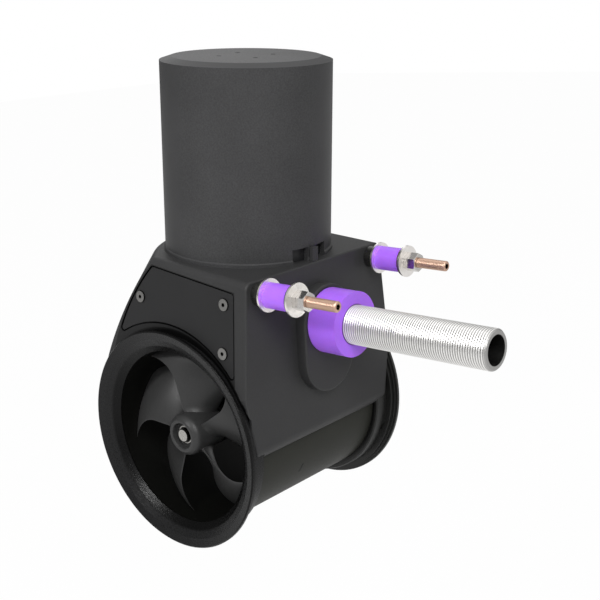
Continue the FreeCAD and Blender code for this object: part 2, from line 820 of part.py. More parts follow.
def end_bell_points(outside, inwards):
    # The bell's outer face and the sign of the way into the motor.
    def level(distance):
        return above_deck("%s %s (%s)" % (outside, inwards, distance))
    pocket = "Sizes.bearing_radius + Sizes.seat_gap"
    hub = pocket + " + Sizes.bell_hub_wall"
    hub_end = "Sizes.bell_thick + Sizes.bearing_width - Sizes.bell_hub_wall"
    shaft_clear = shaft_bore + " + 1"
    return [
        (shaft_clear, level("0")),
        ("Sizes.yoke_radius", level("0")),
        ("Sizes.yoke_radius", level("Sizes.bell_thick")),
        (hub, level("Sizes.bell_thick")),
        (hub, level(hub_end)),
        (pocket, level(hub_end)),
        (pocket, level("Sizes.bell_thick / 2")),
        (shaft_clear, level("Sizes.bell_thick / 2")),
    ]


keep(turn("lower_end_bell", end_bell_points("Sizes.base_thick", "+"), motor_axis), "lower_end_bell")
keep(turn("upper_end_bell", end_bell_points(motor_top, "-"), motor_axis), "upper_end_bell")

bearing_low = "Sizes.base_thick + Sizes.bell_thick / 2"
bearing_high = motor_top + " - Sizes.bell_thick / 2"
keep(turned_ring("lower_motor_bearing", shaft_bore, "Sizes.bearing_radius", above_deck(bearing_low),
                 above_deck(bearing_low + " + Sizes.bearing_width"), motor_axis), "lower_motor_bearing")
keep(turned_ring("upper_motor_bearing", shaft_bore, "Sizes.bearing_radius",
                 above_deck(bearing_high + " - Sizes.bearing_width"), above_deck(bearing_high), motor_axis),
     "upper_motor_bearing")


def sector(inner, outer, angle, low, high):
    # A slice of a ring, centred on +X.
    slice_shape = Part.makeCylinder(outer, high - low, Vector(0, 0, low), Vector(0, 0, 1), angle)
    slice_shape.rotate(Vector(0, 0, 0), Vector(0, 0, 1), -angle / 2)
    return slice_shape.cut(Part.makeCylinder(inner, high - low, Vector(0, 0, low)))


magnet_outer = size("yoke_radius") - size("yoke_wall") - seat_gap
magnet_inner = magnet_outer - size("magnet_thick")
core_radius = magnet_inner - size("air_gap")
core_low = deck + size("core_foot")
core_high = core_low + size("core_height")
magnet_low = (core_low + core_high - size("magnet_height")) / 2
magnet_high = magnet_low + size("magnet_height")
magnet = sector(magnet_inner, magnet_outer, size("magnet_angle"), magnet_low, magnet_high)
keep(group("field_magnets", around(magnet, 4, motor_axis)), "field_magnets")

commutator_low = core_high + size("winding_end") + 1
commutator_high = commutator_low + size("commutator_height")
brush_inner = size("commutator_radius") + seat_gap
brush = Part.makeBox(size("brush_length"), size("brush_width"), size("brush_height"),
                     Vector(brush_inner, -size("brush_width") / 2, commutator_high - size("brush_height")))
keep(group("carbon_brushes", around(brush, 4, motor_axis, 45)), "carbon_brushes")

holder_bore = size("bearing_radius") + size("bell_hub_wall") + 2
holder = Part.makeCylinder(magnet_outer, size("holder_thick"), Vector(0, 0, commutator_high))
holder = holder.cut(Part.makeCylinder(holder_bore, size("holder_thick"), Vector(0, 0, commutator_high)))
keep(solid_feature("brush_holder", placed(holder, motor_axis)), "brush_holder")

terminal = Part.makeCylinder(size("terminal_radius"), size("terminal_height"),
                             Vector(size("terminal_circle"), 0,
                                    deck + size("base_thick") + 2 * size("bell_thick") + size("yoke_height")))
keep(group("motor_terminals", around(terminal, 2, motor_axis)), "motor_terminals")

# The motor's turning parts: shaft, slotted core, windings, commutator and the upper half of the coupling.

lower_hub_foot = size("leg_flange_top") + size("coupling_rise")
jaw_foot = lower_hub_foot + size("hub_height")
upper_hub_foot = jaw_foot + size("jaw_height")
motor_shaft_foot = "Sizes.leg_flange_top + Sizes.coupling_rise + Sizes.hub_height + Sizes.jaw_height"
motor_shaft_top = above_deck(motor_top + " - Sizes.bell_thick / 2")
motor_shaft_points = [
    (0, motor_shaft_foot),
    ("Sizes.motor_shaft_radius", motor_shaft_foot),
    ("Sizes.motor_shaft_radius", motor_shaft_top),
    (0, motor_shaft_top),
]
keep(turn("motor_shaft", motor_shaft_points, motor_axis), "motor_shaft")

shaft_fit = size("motor_shaft_radius") + running_gap
slot = Part.makeBox(size("slot_depth"), size("slot_width"), size("core_height"),
                    Vector(core_radius - size("slot_depth"), -size("slot_width") / 2, core_low))
slot_wall = size("slot_wall")
slot.translate(Vector(-slot_wall, 0, 0))
slot_count = int(size("core_slots"))
core = Part.makeCylinder(core_radius, size("core_height"), Vector(0, 0, core_low))
core = core.cut(Part.makeCylinder(shaft_fit, size("core_height"), Vector(0, 0, core_low)))
core = placed(core, motor_axis).cut(around(slot, slot_count, motor_axis))
keep(solid_feature("armature_core", core), "armature_core")

slot_floor = core_radius - slot_wall - size("slot_depth")
bar_corner = Vector(slot_floor + seat_gap, seat_gap - size("slot_width") / 2, core_low)
winding_bar = Part.makeBox(size("slot_depth") - 2 * seat_gap, size("slot_width") - 2 * seat_gap,
                           size("core_height"), bar_corner)
bars = around(winding_bar, slot_count, motor_axis)
end_inner = slot_floor - 2
ends = []
for low in (core_low - size("winding_end"), core_high):
    end = Part.makeCylinder(core_radius - slot_wall, size("winding_end"), Vector(0, 0, low))
    end = end.cut(Part.makeCylinder(end_inner, size("winding_end"), Vector(0, 0, low)))
    ends.append(placed(end, motor_axis))
keep(solid_feature("armature_windings", ends[0].fuse(ends[1:] + bars).removeSplitter()), "armature_windings")

commutator_foot = Vector(0, 0, commutator_low)
commutator = Part.makeCylinder(size("commutator_radius"), size("commutator_height"), commutator_foot)
commutator = commutator.cut(Part.makeCylinder(shaft_fit, size("commutator_height"), commutator_foot))
keep(solid_feature("commutator", placed(commutator, motor_axis)), "commutator")

jaw_inner = size("motor_shaft_radius") + 1


def coupling_half(low, bore, jaw_low, jaw_high, first_angle):
    hub = Part.makeCylinder(size("hub_radius"), size("hub_height"), Vector(0, 0, low))
    hub = hub.cut(Part.makeCylinder(bore, size("hub_height"), Vector(0, 0, low)))
    jaw = sector(jaw_inner, size("hub_radius"), size("jaw_angle"), jaw_low, jaw_high)
    jaws = around(jaw, 3, Placement(), first_angle)
    return placed(hub.fuse(jaws).removeSplitter(), motor_axis)


pinion_fit = size("pinion_shaft_radius") + running_gap
lower_half = coupling_half(lower_hub_foot, pinion_fit, jaw_foot, upper_hub_foot - seat_gap, 0)
upper_half = coupling_half(upper_hub_foot, shaft_fit, jaw_foot + seat_gap, upper_hub_foot, 60)
keep(solid_feature("lower_coupling_half", lower_half), "lower_coupling_half")
keep(solid_feature("upper_coupling_half", upper_half), "upper_coupling_half")

spider_foot = Vector(0, 0, jaw_foot)
spider_arm_angle = 60 - size("jaw_angle") - size("jaw_play")
spider_arm = sector(size("pinion_shaft_radius"), size("hub_radius"), spider_arm_angle,
                    jaw_foot, upper_hub_foot)
spider_core = Part.makeCylinder(jaw_inner - seat_gap, size("jaw_height"), spider_foot)
spider_bore = Part.makeCylinder(size("pinion_shaft_radius") - 1, size("jaw_height"), spider_foot)
spider_core = spider_core.cut(spider_bore)
spider = spider_core.fuse(around(spider_arm, 6, Placement(), 30)).removeSplitter()
keep(solid_feature("coupling_spider", placed(spider, motor_axis)), "coupling_spider")

# The gear leg: an oval strut from a flange on the tube down to a round pod on the tunnel's axis.


def gear_leg():
    tube_outer = size("bore_radius") + size("tube_wall")
    strut = leg_section(0, size("pod_bore"), size("leg_flange_top"))
    flange = cylinder(size("leg_flange_radius"), size("bore_radius"), size("leg_flange_top"), motor_axis)
    flange = flange.cut(cylinder(tube_outer + seat_gap, -size("mouth_half"), size("mouth_half"), far_side))
    pod = cylinder(size("pod_radius"), -size("pod_front"), size("pod_rear"), far_side)
    shape = pod.fuse([strut, flange]).removeSplitter()
    pod_bore = cylinder(size("pod_bore"), -size("pod_front"), size("pod_rear"), far_side)
    bearing_fit = size("pinion_bearing_radius") + seat_gap
    pinion_way = cylinder(bearing_fit, 0, size("leg_flange_top"), motor_axis)
    return shape.cut([pod_bore, pinion_way])


keep(solid_feature("gear_leg", gear_leg()), "gear_leg")


def pod_cap():
    rear = size("pod_rear")
    cap = Part.makeCylinder(size("pod_radius"), size("cap_length"), Vector(0, 0, rear))
    rim = [e for e in cap.Edges if all(abs(v.Z - rear - size("cap_length")) < 0.01 for v in e.Vertexes)]
    rim = [e for e in rim if isinstance(e.Curve, Part.Circle)]
    cap = cap.makeFillet(size("cap_round"), rim)
    plug = Part.makeCylinder(size("pod_bore") - seat_gap, 2, Vector(0, 0, rear - 2))
    return placed(cap.fuse(plug).removeSplitter(), far_side)


keep(solid_feature("pod_cap", pod_cap()), "pod_cap")

pinion_bore = "Sizes.pinion_shaft_radius + Sizes.running_gap"
leg_bearing_high = "Sizes.leg_flange_top - Sizes.leg_seal_width - Sizes.pinion_bearing_width"
keep(turned_ring("lower_leg_bearing", pinion_bore, "Sizes.pinion_bearing_radius", "Sizes.pinion_bearing_low",
                 "Sizes.pinion_bearing_low + Sizes.pinion_bearing_width", motor_axis), "lower_leg_bearing")
keep(turned_ring("upper_leg_bearing", pinion_bore, "Sizes.pinion_bearing_radius", leg_bearing_high,
                 leg_bearing_high + " + Sizes.pinion_bearing_width", motor_axis), "upper_leg_bearing")
keep(turned_ring("leg_seal", pinion_bore, "Sizes.pinion_bearing_radius",
                 "Sizes.leg_flange_top - Sizes.leg_seal_width", "Sizes.leg_flange_top", motor_axis), "leg_seal")

prop_bore = "Sizes.prop_shaft_radius + Sizes.running_gap"
pod_fit = "Sizes.pod_bore - Sizes.seat_gap"
front_bearing_high = "Sizes.pod_front - Sizes.prop_seal_width"
keep(turned_ring("front_prop_bearing", prop_bore, pod_fit, front_bearing_high + " - Sizes.prop_bearing_width",
                 front_bearing_high, near_side), "front_prop_bearing")
keep(turned_ring("prop_shaft_seal", prop_bore, pod_fit, front_bearing_high, "Sizes.pod_front", near_side),
     "prop_shaft_seal")
keep(turned_ring("rear_prop_bearing", prop_bore, pod_fit, "Sizes.pod_rear - 2 - Sizes.prop_bearing_width",
                 "Sizes.pod_rear - 2", far_side), "rear_prop_bearing")

# Bevel gears: each tooth is a wedge that shrinks towards the point where the two axes cross.

crown_radius = size("crown_pitch_radius")
pinion_radius = crown_radius * size("pinion_teeth") / size("crown_teeth")


def tooth_wire(teeth, pitch_radius, level, scale):
    module = 2 * pitch_radius / teeth
    tip = pitch_radius + size("tooth_addendum") * module
    root = pitch_radius - module
    step = 2 * math.pi / teeth
    half_root = step * size("tooth_root_share") / 2
    half_tip = step * size("tooth_tip_share") / 2
    points = []
    for i in range(teeth):
        middle = i * step
        for radius, offset in ((root, -half_root), (tip, -half_tip), (tip, half_tip), (root, half_root)):
            angle = middle + offset
            points.append(Vector(radius * math.cos(angle), radius * math.sin(angle), level) * scale)
    return Part.makePolygon(points + points[:1])


def bevel_gear(teeth, pitch_radius, level, bore, back_radius):
    # Big end at its own height above the crossing point, small end nearer to it.
    big = tooth_wire(teeth, pitch_radius, level, 1.0)
    small = tooth_wire(teeth, pitch_radius, level, 1.0 - size("gear_face"))
    gear = Part.makeLoft([small, big], True, True)
    back = Part.makeCylinder(back_radius, size("gear_back"), Vector(0, 0, level))
    gear = gear.fuse(back)
    return gear.cut(Part.makeCylinder(bore, 3 * level, Vector(0, 0, 0))).removeSplitter()


pinion = bevel_gear(int(size("pinion_teeth")), pinion_radius, crown_radius, pinion_fit, pinion_radius - 1)
pinion.rotate(Vector(0, 0, 0), Vector(0, 0, 1), 90)
keep(solid_feature("pinion_gear", placed(pinion, motor_axis)), "pinion_gear")

crown = bevel_gear(int(size("crown_teeth")), crown_radius, pinion_radius, size("prop_shaft_radius") + running_gap,
                   crown_radius - 1)
crown.rotate(Vector(0, 0, 0), Vector(0, 0, 1), size("lean_angle") - 90 + 180 / size("crown_teeth"))
keep(solid_feature("crown_gear", placed(crown, far_side)), "crown_gear")

pinion_shaft_top = "Sizes.leg_flange_top + Sizes.coupling_rise + Sizes.hub_height"
pinion_shaft_points = [
    (0, "Sizes.crown_pitch_radius * (1 - Sizes.gear_face)"),
    ("Sizes.pinion_shaft_radius", "Sizes.crown_pitch_radius * (1 - Sizes.gear_face)"),
    ("Sizes.pinion_shaft_radius", pinion_shaft_top),
    (0, pinion_shaft_top),
]
keep(turn("pinion_shaft", pinion_shaft_points, motor_axis), "pinion_shaft")

# The propeller and what holds it on its shaft. Heights are towards the near mouth.

prop_shaft_points = [
    (0, "2 - Sizes.pod_rear"),
    ("Sizes.prop_shaft_radius", "2 - Sizes.pod_rear"),
    ("Sizes.prop_shaft_radius", "Sizes.hub_front + Sizes.nose_length - Sizes.nose_recess"),
    (0, "Sizes.hub_front + Sizes.nose_length - Sizes.nose_recess"),
]
pin_level = size("hub_back") + size("pin_set_back")
pin_half = size("prop_hub_radius") - 2


def pin_hole(radius, half):
    hole = Part.makeCylinder(radius, 2 * half, Vector(-half, 0, pin_level), Vector(1, 0, 0))
    return placed(hole, near_side)


prop_shaft_shape = shape_of(turn("prop_shaft_blank", prop_shaft_points, near_side))
prop_shaft_shape = prop_shaft_shape.cut(pin_hole(size("pin_radius") + running_gap, pin_half))
keep(solid_feature("prop_shaft", prop_shaft_shape), "prop_shaft")
keep(solid_feature("drive_pin", pin_hole(size("pin_radius"), pin_half)), "drive_pin")

prop_hub_points = [
    (prop_bore, "Sizes.hub_back"),
    ("Sizes.prop_hub_radius", "Sizes.hub_back"),
    ("Sizes.prop_hub_radius", "Sizes.hub_front"),
    ("Sizes.nose_radius", "Sizes.hub_front + Sizes.nose_length"),
    ("Sizes.nose_radius - Sizes.lip_flat", "Sizes.hub_front + Sizes.nose_length"),
    ("Sizes.nose_radius - Sizes.lip_flat", "Sizes.hub_front + Sizes.nose_length - Sizes.nose_recess"),
    (prop_bore, "Sizes.hub_front + Sizes.nose_length - Sizes.nose_recess"),
]


def ramp(radius, start, end):
    # 0 up to a start radius, then rising faster and faster to 1 at the end.
    return max(0.0, (radius - start) / (end - start)) ** 2


def blade_point(radius, share, face):
    # share runs from the front edge to the rear edge, face is +1 in front and -1 behind.
    tip = size("blade_tip_radius")
    skew = size("blade_skew") * ramp(radius, size("blade_skew_start"), tip)
    corner = size("blade_corner_angle") * ramp(radius, size("blade_corner_start"), tip)
    sweep = share * (size("blade_chord_angle") + skew - corner)
    rise = size("blade_pitch") / (2 * math.pi * radius)
    along = 1 / math.sqrt(1 + rise ** 2)
    span = (radius - size("prop_hub_radius")) / (tip - size("prop_hub_radius"))
    thick = size("blade_root_thick") + (size("blade_tip_thick") - size("blade_root_thick")) * max(0.0, span)
    edge = size("blade_edge_share")
    half = face * thick / 2 * (edge + (1 - edge) * math.sin(math.pi * share))
    angle = math.radians(size("blade_first_angle") + skew - sweep) - half * rise * along / radius
    height = size("blade_front") - size("blade_pitch") * sweep / 360 + half * along
    return Vector(radius * math.cos(angle), radius * math.sin(angle), height)


def blade():
    root = size("prop_hub_radius") - 4
    tip = size("blade_tip_radius")
    stations = 7
    steps = 6
    faces = []
    for face in (1, -1):
        grid = [[blade_point(root + (tip - root) * i / stations, j / steps, face) for j in range(steps + 1)]
                for i in range(stations + 1)]
        surface = Part.BSplineSurface()
        surface.interpolate(grid)
        faces.append(surface)
    low_u, high_u, low_v, high_v = faces[0].bounds()
    shapes = [f.toShape() for f in faces]
    for u in (low_u, high_u):
        shapes.append(Part.makeRuledSurface(faces[0].uIso(u).toShape(), faces[1].uIso(u).toShape()))
    for v in (low_v, high_v):
        shapes.append(Part.makeRuledSurface(faces[0].vIso(v).toShape(), faces[1].vIso(v).toShape()))
    shell = Part.makeShell(shapes)
    shell.sewShape()
    solid = Part.makeSolid(shell)
    if solid.Volume < 0:
        solid.reverse()
    return solid


def propeller():
    hub = shape_of(turn("prop_hub_blank", prop_hub_points, near_side))
    sleeve = cylinder(size("prop_hub_radius") - 2, size("hub_back"), size("hub_front"), near_side)
    blades = [b.cut(sleeve) for b in around(blade(), int(size("blade_count")), near_side)]
    shape = hub.fuse(blades).removeSplitter()
    return shape.cut(pin_hole(size("pin_radius") + running_gap, size("prop_hub_radius") + 1))


keep(solid_feature("propeller", propeller()), "propeller")

nut_seat = "Sizes.hub_front + Sizes.nose_length - Sizes.nose_recess"
prop_nut_points = [
    (0, nut_seat),
    ("Sizes.prop_nut_collar", nut_seat),
    ("Sizes.prop_nut_collar", nut_seat + " + Sizes.prop_nut_collar_height"),
    ("Sizes.prop_nut_radius", nut_seat + " + Sizes.prop_nut_collar_height"),
    ("Sizes.prop_nut_radius", nut_seat + " + Sizes.prop_nut_height"),
    (0, nut_seat + " + Sizes.prop_nut_height"),
]
keep(turn("propeller_nut", prop_nut_points, near_side), "propeller_nut")

# The conduit and the two studs, with the sleeves that line their holes in the transom.

# The conduit's plain root is a seat gap smaller than its thread, which starts in front of the sleeve.
conduit_shank = "Sizes.conduit_radius - Sizes.seat_gap"
thread_start = "Sizes.transom_thick + Sizes.seat_gap"
conduit_points = [
    ("Sizes.conduit_bore", "-Sizes.conduit_root"),
    (conduit_shank, "-Sizes.conduit_root"),
    (conduit_shank, thread_start),
    ("Sizes.conduit_radius", thread_start),
    ("Sizes.conduit_radius", "Sizes.conduit_end - Sizes.lip_flat"),
    ("Sizes.conduit_radius - Sizes.lip_flat", "Sizes.conduit_end"),
    ("Sizes.conduit_bore", "Sizes.conduit_end"),
]
keep(turn("conduit_pipe", conduit_points, conduit_axis), "conduit_pipe")

# The sleeve's spigot sits in a shallow seat in the pad.
sleeve_points = [
    ("Sizes.conduit_radius", "-Sizes.sleeve_seat"),
    ("Sizes.sleeve_radius - Sizes.seat_gap", "-Sizes.sleeve_seat"),
    ("Sizes.sleeve_radius - Sizes.seat_gap", 0),
    ("Sizes.sleeve_radius", 0),
    ("Sizes.sleeve_radius", "Sizes.transom_thick"),
    ("Sizes.conduit_radius", "Sizes.transom_thick"),
]
keep(turn("conduit_sleeve", sleeve_points, conduit_axis), "conduit_sleeve")


def both_studs(name, points):
    blank = shape_of(turn(name + "_blank", points, Placement()))
    return both_sides(name, blank)


def both_sides(name, blank):
    copies = []
    for side in (-1, 1):
        place = Placement(Vector(-size("stud_rise"), side * size("stud_spacing") / 2, 0), Rotation())
        copies.append(placed(blank, conduit_axis.multiply(place)))
    return keep(group(name, copies), name)


# Under the nuts each stud is drawn at its thread's core, and past them at the thread's crest.
nut_top = ("Sizes.transom_thick + Sizes.gasket_thick + Sizes.washer_thick + Sizes.thin_nut_height"
           " + Sizes.nut_height + Sizes.seat_gap")
both_studs("mounting_studs", [
    (0, "-Sizes.stud_root"),
    ("Sizes.stud_core_radius", "-Sizes.stud_root"),
    ("Sizes.stud_core_radius", nut_top),
    ("Sizes.stud_radius", nut_top),
    ("Sizes.stud_radius", "Sizes.stud_end - Sizes.nut_chamfer"),
    ("Sizes.stud_radius - Sizes.nut_chamfer", "Sizes.stud_end"),
    ("Sizes.stud_socket", "Sizes.stud_end"),
    ("Sizes.stud_socket", "Sizes.stud_end - Sizes.stud_socket_depth"),
    (0, "Sizes.stud_end - Sizes.stud_socket_depth"),
])

stud_bore = "Sizes.stud_radius + Sizes.seat_gap"
outer_washer_low = "Sizes.transom_thick + Sizes.gasket_thick"
outer_washer_high = outer_washer_low + " + Sizes.washer_thick"
both_studs("stud_seat_rings", ring_points(stud_bore, "Sizes.seat_ring_radius", "-Sizes.plate_back", 0))
both_studs("inner_washers", ring_points(stud_bore, "Sizes.washer_radius", 0, "Sizes.washer_thick"))
both_studs("stud_sleeves", ring_points(stud_bore, "Sizes.stud_sleeve_radius", "Sizes.washer_thick",
                                       "Sizes.transom_thick"))
both_studs("stud_gaskets", ring_points(stud_bore, "Sizes.gasket_radius", "Sizes.transom_thick",
                                       outer_washer_low))
both_studs("outer_washers", ring_points(stud_bore, "Sizes.washer_radius", outer_washer_low,
                                        outer_washer_high))


def hex_nut(low, height):
    # A hexagon with both ends turned down at the corners.
    across_corners = size("nut_flats") / math.cos(math.radians(30))
    outer = across_corners / 2
    corners = []
    for i in range(6):
        angle = math.radians(60 * i)
        corners.append(Vector(outer * math.cos(angle), outer * math.sin(angle), low))
    nut = Part.Face(Part.makePolygon(corners + corners[:1])).extrude(Vector(0, 0, height))
    chamfer = size("nut_chamfer")
    shoulder = Vector(0, 0, low + height - chamfer)
    turned = Part.makeCylinder(outer, height - chamfer, Vector(0, 0, low))
    turned = turned.fuse(Part.makeCone(outer, size("nut_flats") / 2 - chamfer / 4, chamfer, shoulder))
    nut = nut.common(turned)
    bore = Part.makeCylinder(size("stud_radius"), height, Vector(0, 0, low))
    return nut.cut(bore).removeSplitter()


thin_nut_low = size("transom_thick") + size("gasket_thick") + size("washer_thick")
both_sides("thin_nuts", hex_nut(thin_nut_low, size("thin_nut_height")))
both_sides("stud_nuts", hex_nut(thin_nut_low + size("thin_nut_height"), size("nut_height")))

cover_screw_points = [
    (0, "-Sizes.screw_length"),
    ("Sizes.screw_radius", "-Sizes.screw_length"),
    ("Sizes.screw_radius", "Sizes.screw_proud - Sizes.screw_head_height"),
    ("Sizes.screw_head_radius", "Sizes.screw_proud - Sizes.screw_head_height"),
    ("Sizes.screw_head_radius", "Sizes.screw_proud"),
    ("Sizes.screw_socket", "Sizes.screw_proud"),
    ("Sizes.screw_socket", "Sizes.screw_proud - Sizes.screw_socket"),
    (0, "Sizes.screw_proud - Sizes.screw_socket"),
]
screw_blank = shape_of(turn("cover_screw", cover_screw_points, Placement()))
near_screws = [placed(screw_blank, side_frame(x, z)) for x, z in cover_screw_places]
keep(group("cover_screws", near_screws + [mirrored(screw) for screw in near_screws]), "cover_screws")

doc.recompute()
faults = [o.Label for o in doc.Objects if "Invalid" in o.State or "Error" in o.State]
for piece in nodes:
    if piece.Shape.isNull() or not piece.Shape.isValid():
        faults.append(piece.Label)
    elif not piece.Shape.Solids or len(piece.Shape.Solids) != len(piece.Shape.Shells):
        faults.append(piece.Label + " (not closed)")
if faults:
    raise RuntimeError("these pieces did not build: " + ", ".join(faults))

os.makedirs("parts", exist_ok=True)
for piece in nodes:
    piece.Shape.exportStep("parts/%s.step" % piece.Label)
    print(piece.Label, len(piece.Shape.Solids), "solids", round(piece.Shape.Volume / 1000, 1), "cm3")
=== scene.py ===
import math

import bpy
from mathutils import Matrix, Vector


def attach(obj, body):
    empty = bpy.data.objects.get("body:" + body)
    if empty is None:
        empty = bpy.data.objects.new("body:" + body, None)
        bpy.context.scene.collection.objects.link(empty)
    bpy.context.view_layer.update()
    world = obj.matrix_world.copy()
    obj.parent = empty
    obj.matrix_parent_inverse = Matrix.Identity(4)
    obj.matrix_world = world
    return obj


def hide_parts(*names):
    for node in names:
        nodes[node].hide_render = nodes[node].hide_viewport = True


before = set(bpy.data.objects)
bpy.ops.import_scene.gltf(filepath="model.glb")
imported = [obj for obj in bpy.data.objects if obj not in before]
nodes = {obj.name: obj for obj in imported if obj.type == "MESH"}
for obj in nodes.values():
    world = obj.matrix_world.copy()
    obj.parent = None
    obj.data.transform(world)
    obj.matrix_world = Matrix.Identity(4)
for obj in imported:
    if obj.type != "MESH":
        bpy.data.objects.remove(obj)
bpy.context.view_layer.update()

mm = 0.001
print("stage: frame loaded,", len(nodes), "nodes")

# Places: the tunnel's centre, and frames whose Z runs out of each mouth, up the motor or along the conduit.
placeValues = {
    "tunnelBack": 91.6 * mm,
    "tunnelDrop": 88.7 * mm,
    "motorLean": math.radians(4.6),
    "studSide": 65 * mm,
    "studRise": 34.8 * mm,
}
tunnelCentre = Matrix.Translation((-placeValues["tunnelBack"], 0, -placeValues["tunnelDrop"]))
nearFrame = tunnelCentre @ Matrix.Rotation(math.radians(90), 4, "X")
farFrame = tunnelCentre @ Matrix.Rotation(math.radians(-90), 4, "X")
motorFrame = tunnelCentre @ Matrix.Rotation(placeValues["motorLean"], 4, "Y")
conduitFrame = Matrix.Rotation(math.radians(90), 4, "Y")


def studFrame(side):
    return Matrix.Translation((0, side * placeValues["studSide"], placeValues["studRise"])) @ conduitFrame


# Node trees: sums on sockets are written as plain arithmetic.

class nodeSum:
    def __init__(self, tree, socket):
        self.tree = tree
        self.socket = socket

    def work(self, operation, *others):
        node = self.tree.nodes.new("ShaderNodeMath")
        node.operation = operation
        for slot, value in zip(node.inputs, (self,) + others):
            plug(self.tree, slot, value)
        return nodeSum(self.tree, node.outputs[0])

    def flipped(self, operation, other):
        start = self.tree.nodes.new("ShaderNodeValue")
        start.outputs[0].default_value = other
        return nodeSum(self.tree, start.outputs[0]).work(operation, self)

    def __add__(self, other):
        return self.work("ADD", other)

    def __radd__(self, other):
        return self.work("ADD", other)

    def __sub__(self, other):
        return self.work("SUBTRACT", other)

    def __rsub__(self, other):
        return self.flipped("SUBTRACT", other)

    def __mul__(self, other):
        return self.work("MULTIPLY", other)

    def __rmul__(self, other):
        return self.work("MULTIPLY", other)

    def __truediv__(self, other):
        return self.work("DIVIDE", other)

    def __rtruediv__(self, other):
        return self.flipped("DIVIDE", other)


def plug(tree, slot, value):
    if isinstance(value, nodeSum):
        value = value.socket
    if isinstance(value, bpy.types.NodeSocket):
        tree.links.new(value, slot)
    elif value is not None:
        slot.default_value = value


def addNode(tree, kind, inputs=None, **settings):
    node = tree.nodes.new(kind)
    for key, value in settings.items():
        setattr(node, key, value)
    for key, value in (inputs or {}).items():
        plug(tree, node.inputs[key], value)
    return node


def splitVector(tree, socket):
    split = addNode(tree, "ShaderNodeSeparateXYZ", {0: socket})
    return [nodeSum(tree, out) for out in split.outputs]


def joinVector(tree, x, y, z):
    return addNode(tree, "ShaderNodeCombineXYZ", {0: x, 1: y, 2: z}).outputs[0]


# Materials. Patterns read Object coordinates, which are metres.

def grainValue(tree, size, detail=2.0, stretch=(1, 1, 1)):
    # A noise whose lumps are about this many metres across.
    place = addNode(tree, "ShaderNodeTexCoord").outputs["Object"]
    scaled = addNode(tree, "ShaderNodeMapping", {"Vector": place, "Scale": stretch}).outputs[0]
    noise = addNode(tree, "ShaderNodeTexNoise", {"Vector": scaled, "Scale": 1 / size, "Detail": detail})
    return nodeSum(tree, noise.outputs[0])


def ranged(tree, value, low, high, start=0.3, end=0.7):
    span = addNode(tree, "ShaderNodeMapRange", {"Value": value, "From Min": start, "From Max": end,
                                                "To Min": low, "To Max": high})
    return nodeSum(tree, span.outputs[0])


def shadeOf(tree, colour, amount):
    # The colour made lighter or darker by a factor that runs round 1.
    mix = addNode(tree, "ShaderNodeMix", {"Factor": 1.0}, data_type="RGBA", blend_type="MULTIPLY")
    plug(tree, mix.inputs[6], (*colour, 1))
    plug(tree, mix.inputs[7], joinVector(tree, amount, amount, amount))
    return mix.outputs[2]


def radiusAbout(tree, centre, axis):
    # How far a point lies from a line that runs along X or Y through this centre. A line along X
    # that is set to one side has a twin on the other.
    place = addNode(tree, "ShaderNodeTexCoord").outputs["Object"]
    x, y, z = splitVector(tree, place)
    across = y.work("ABSOLUTE") - centre[1] if axis == "X" else x - centre[0]
    rise = z - centre[2]
    return (across * across + rise * rise).work("SQRT")


# The saddle's side faces lean outward on their way down from the plate's top.
sideFace = {
    "slope": (85.7 - 77.5) / (44.8 + 41.3),
    "halfWidth": 77.5 * mm,
    "plateTop": 44.8 * mm,
    "sunkBlur": 0.15,
    "sunkDark": 0.96,
}
# Where painted shade goes: the recess round each side cover, and the saddle round each mouth's rim.
coverGap = {
    "front": -20.6 * mm,
    "topFront": (-22.6 * mm, 35 * mm),
    "topBack": (-108.7 * mm, 45.7 * mm),
    "tail": (-148.5 * mm, -11.0 * mm),
    "bulge": 3.7 * mm,
    "line": 2.1 * mm,
    "edge": -0.1 * mm,
    "edgeBlur": 0.15,
    "deepest": 12 * mm,
    "seatRadius": 89.7 * mm,
    "seatSide": 79 * mm,
    "seatFront": -11.5 * mm,
    "low": 0.04,
}


def insideStep(tree, distance, blur=0.3):
    # 1 where a distance is positive, 0 where it is negative, with a soft edge this many millimetres wide.
    return ranged(tree, distance, 0.0, 1.0, 0.0, blur * mm)


def depthBelow(x, y, z):
    # How far a point lies inside the nearer side face.
    return sideFace["halfWidth"] + (sideFace["plateTop"] - z) * sideFace["slope"] - y.work("ABSOLUTE")


def sunkShade(tree, start):
    # Paints shade on what lies deeper than this: a cover's edges, a screw's socket and its rim.
    place = addNode(tree, "ShaderNodeTexCoord").outputs["Object"]
    deep = insideStep(tree, depthBelow(*splitVector(tree, place)) - start, sideFace["sunkBlur"])
    return 1.0 - deep * sideFace["sunkDark"]


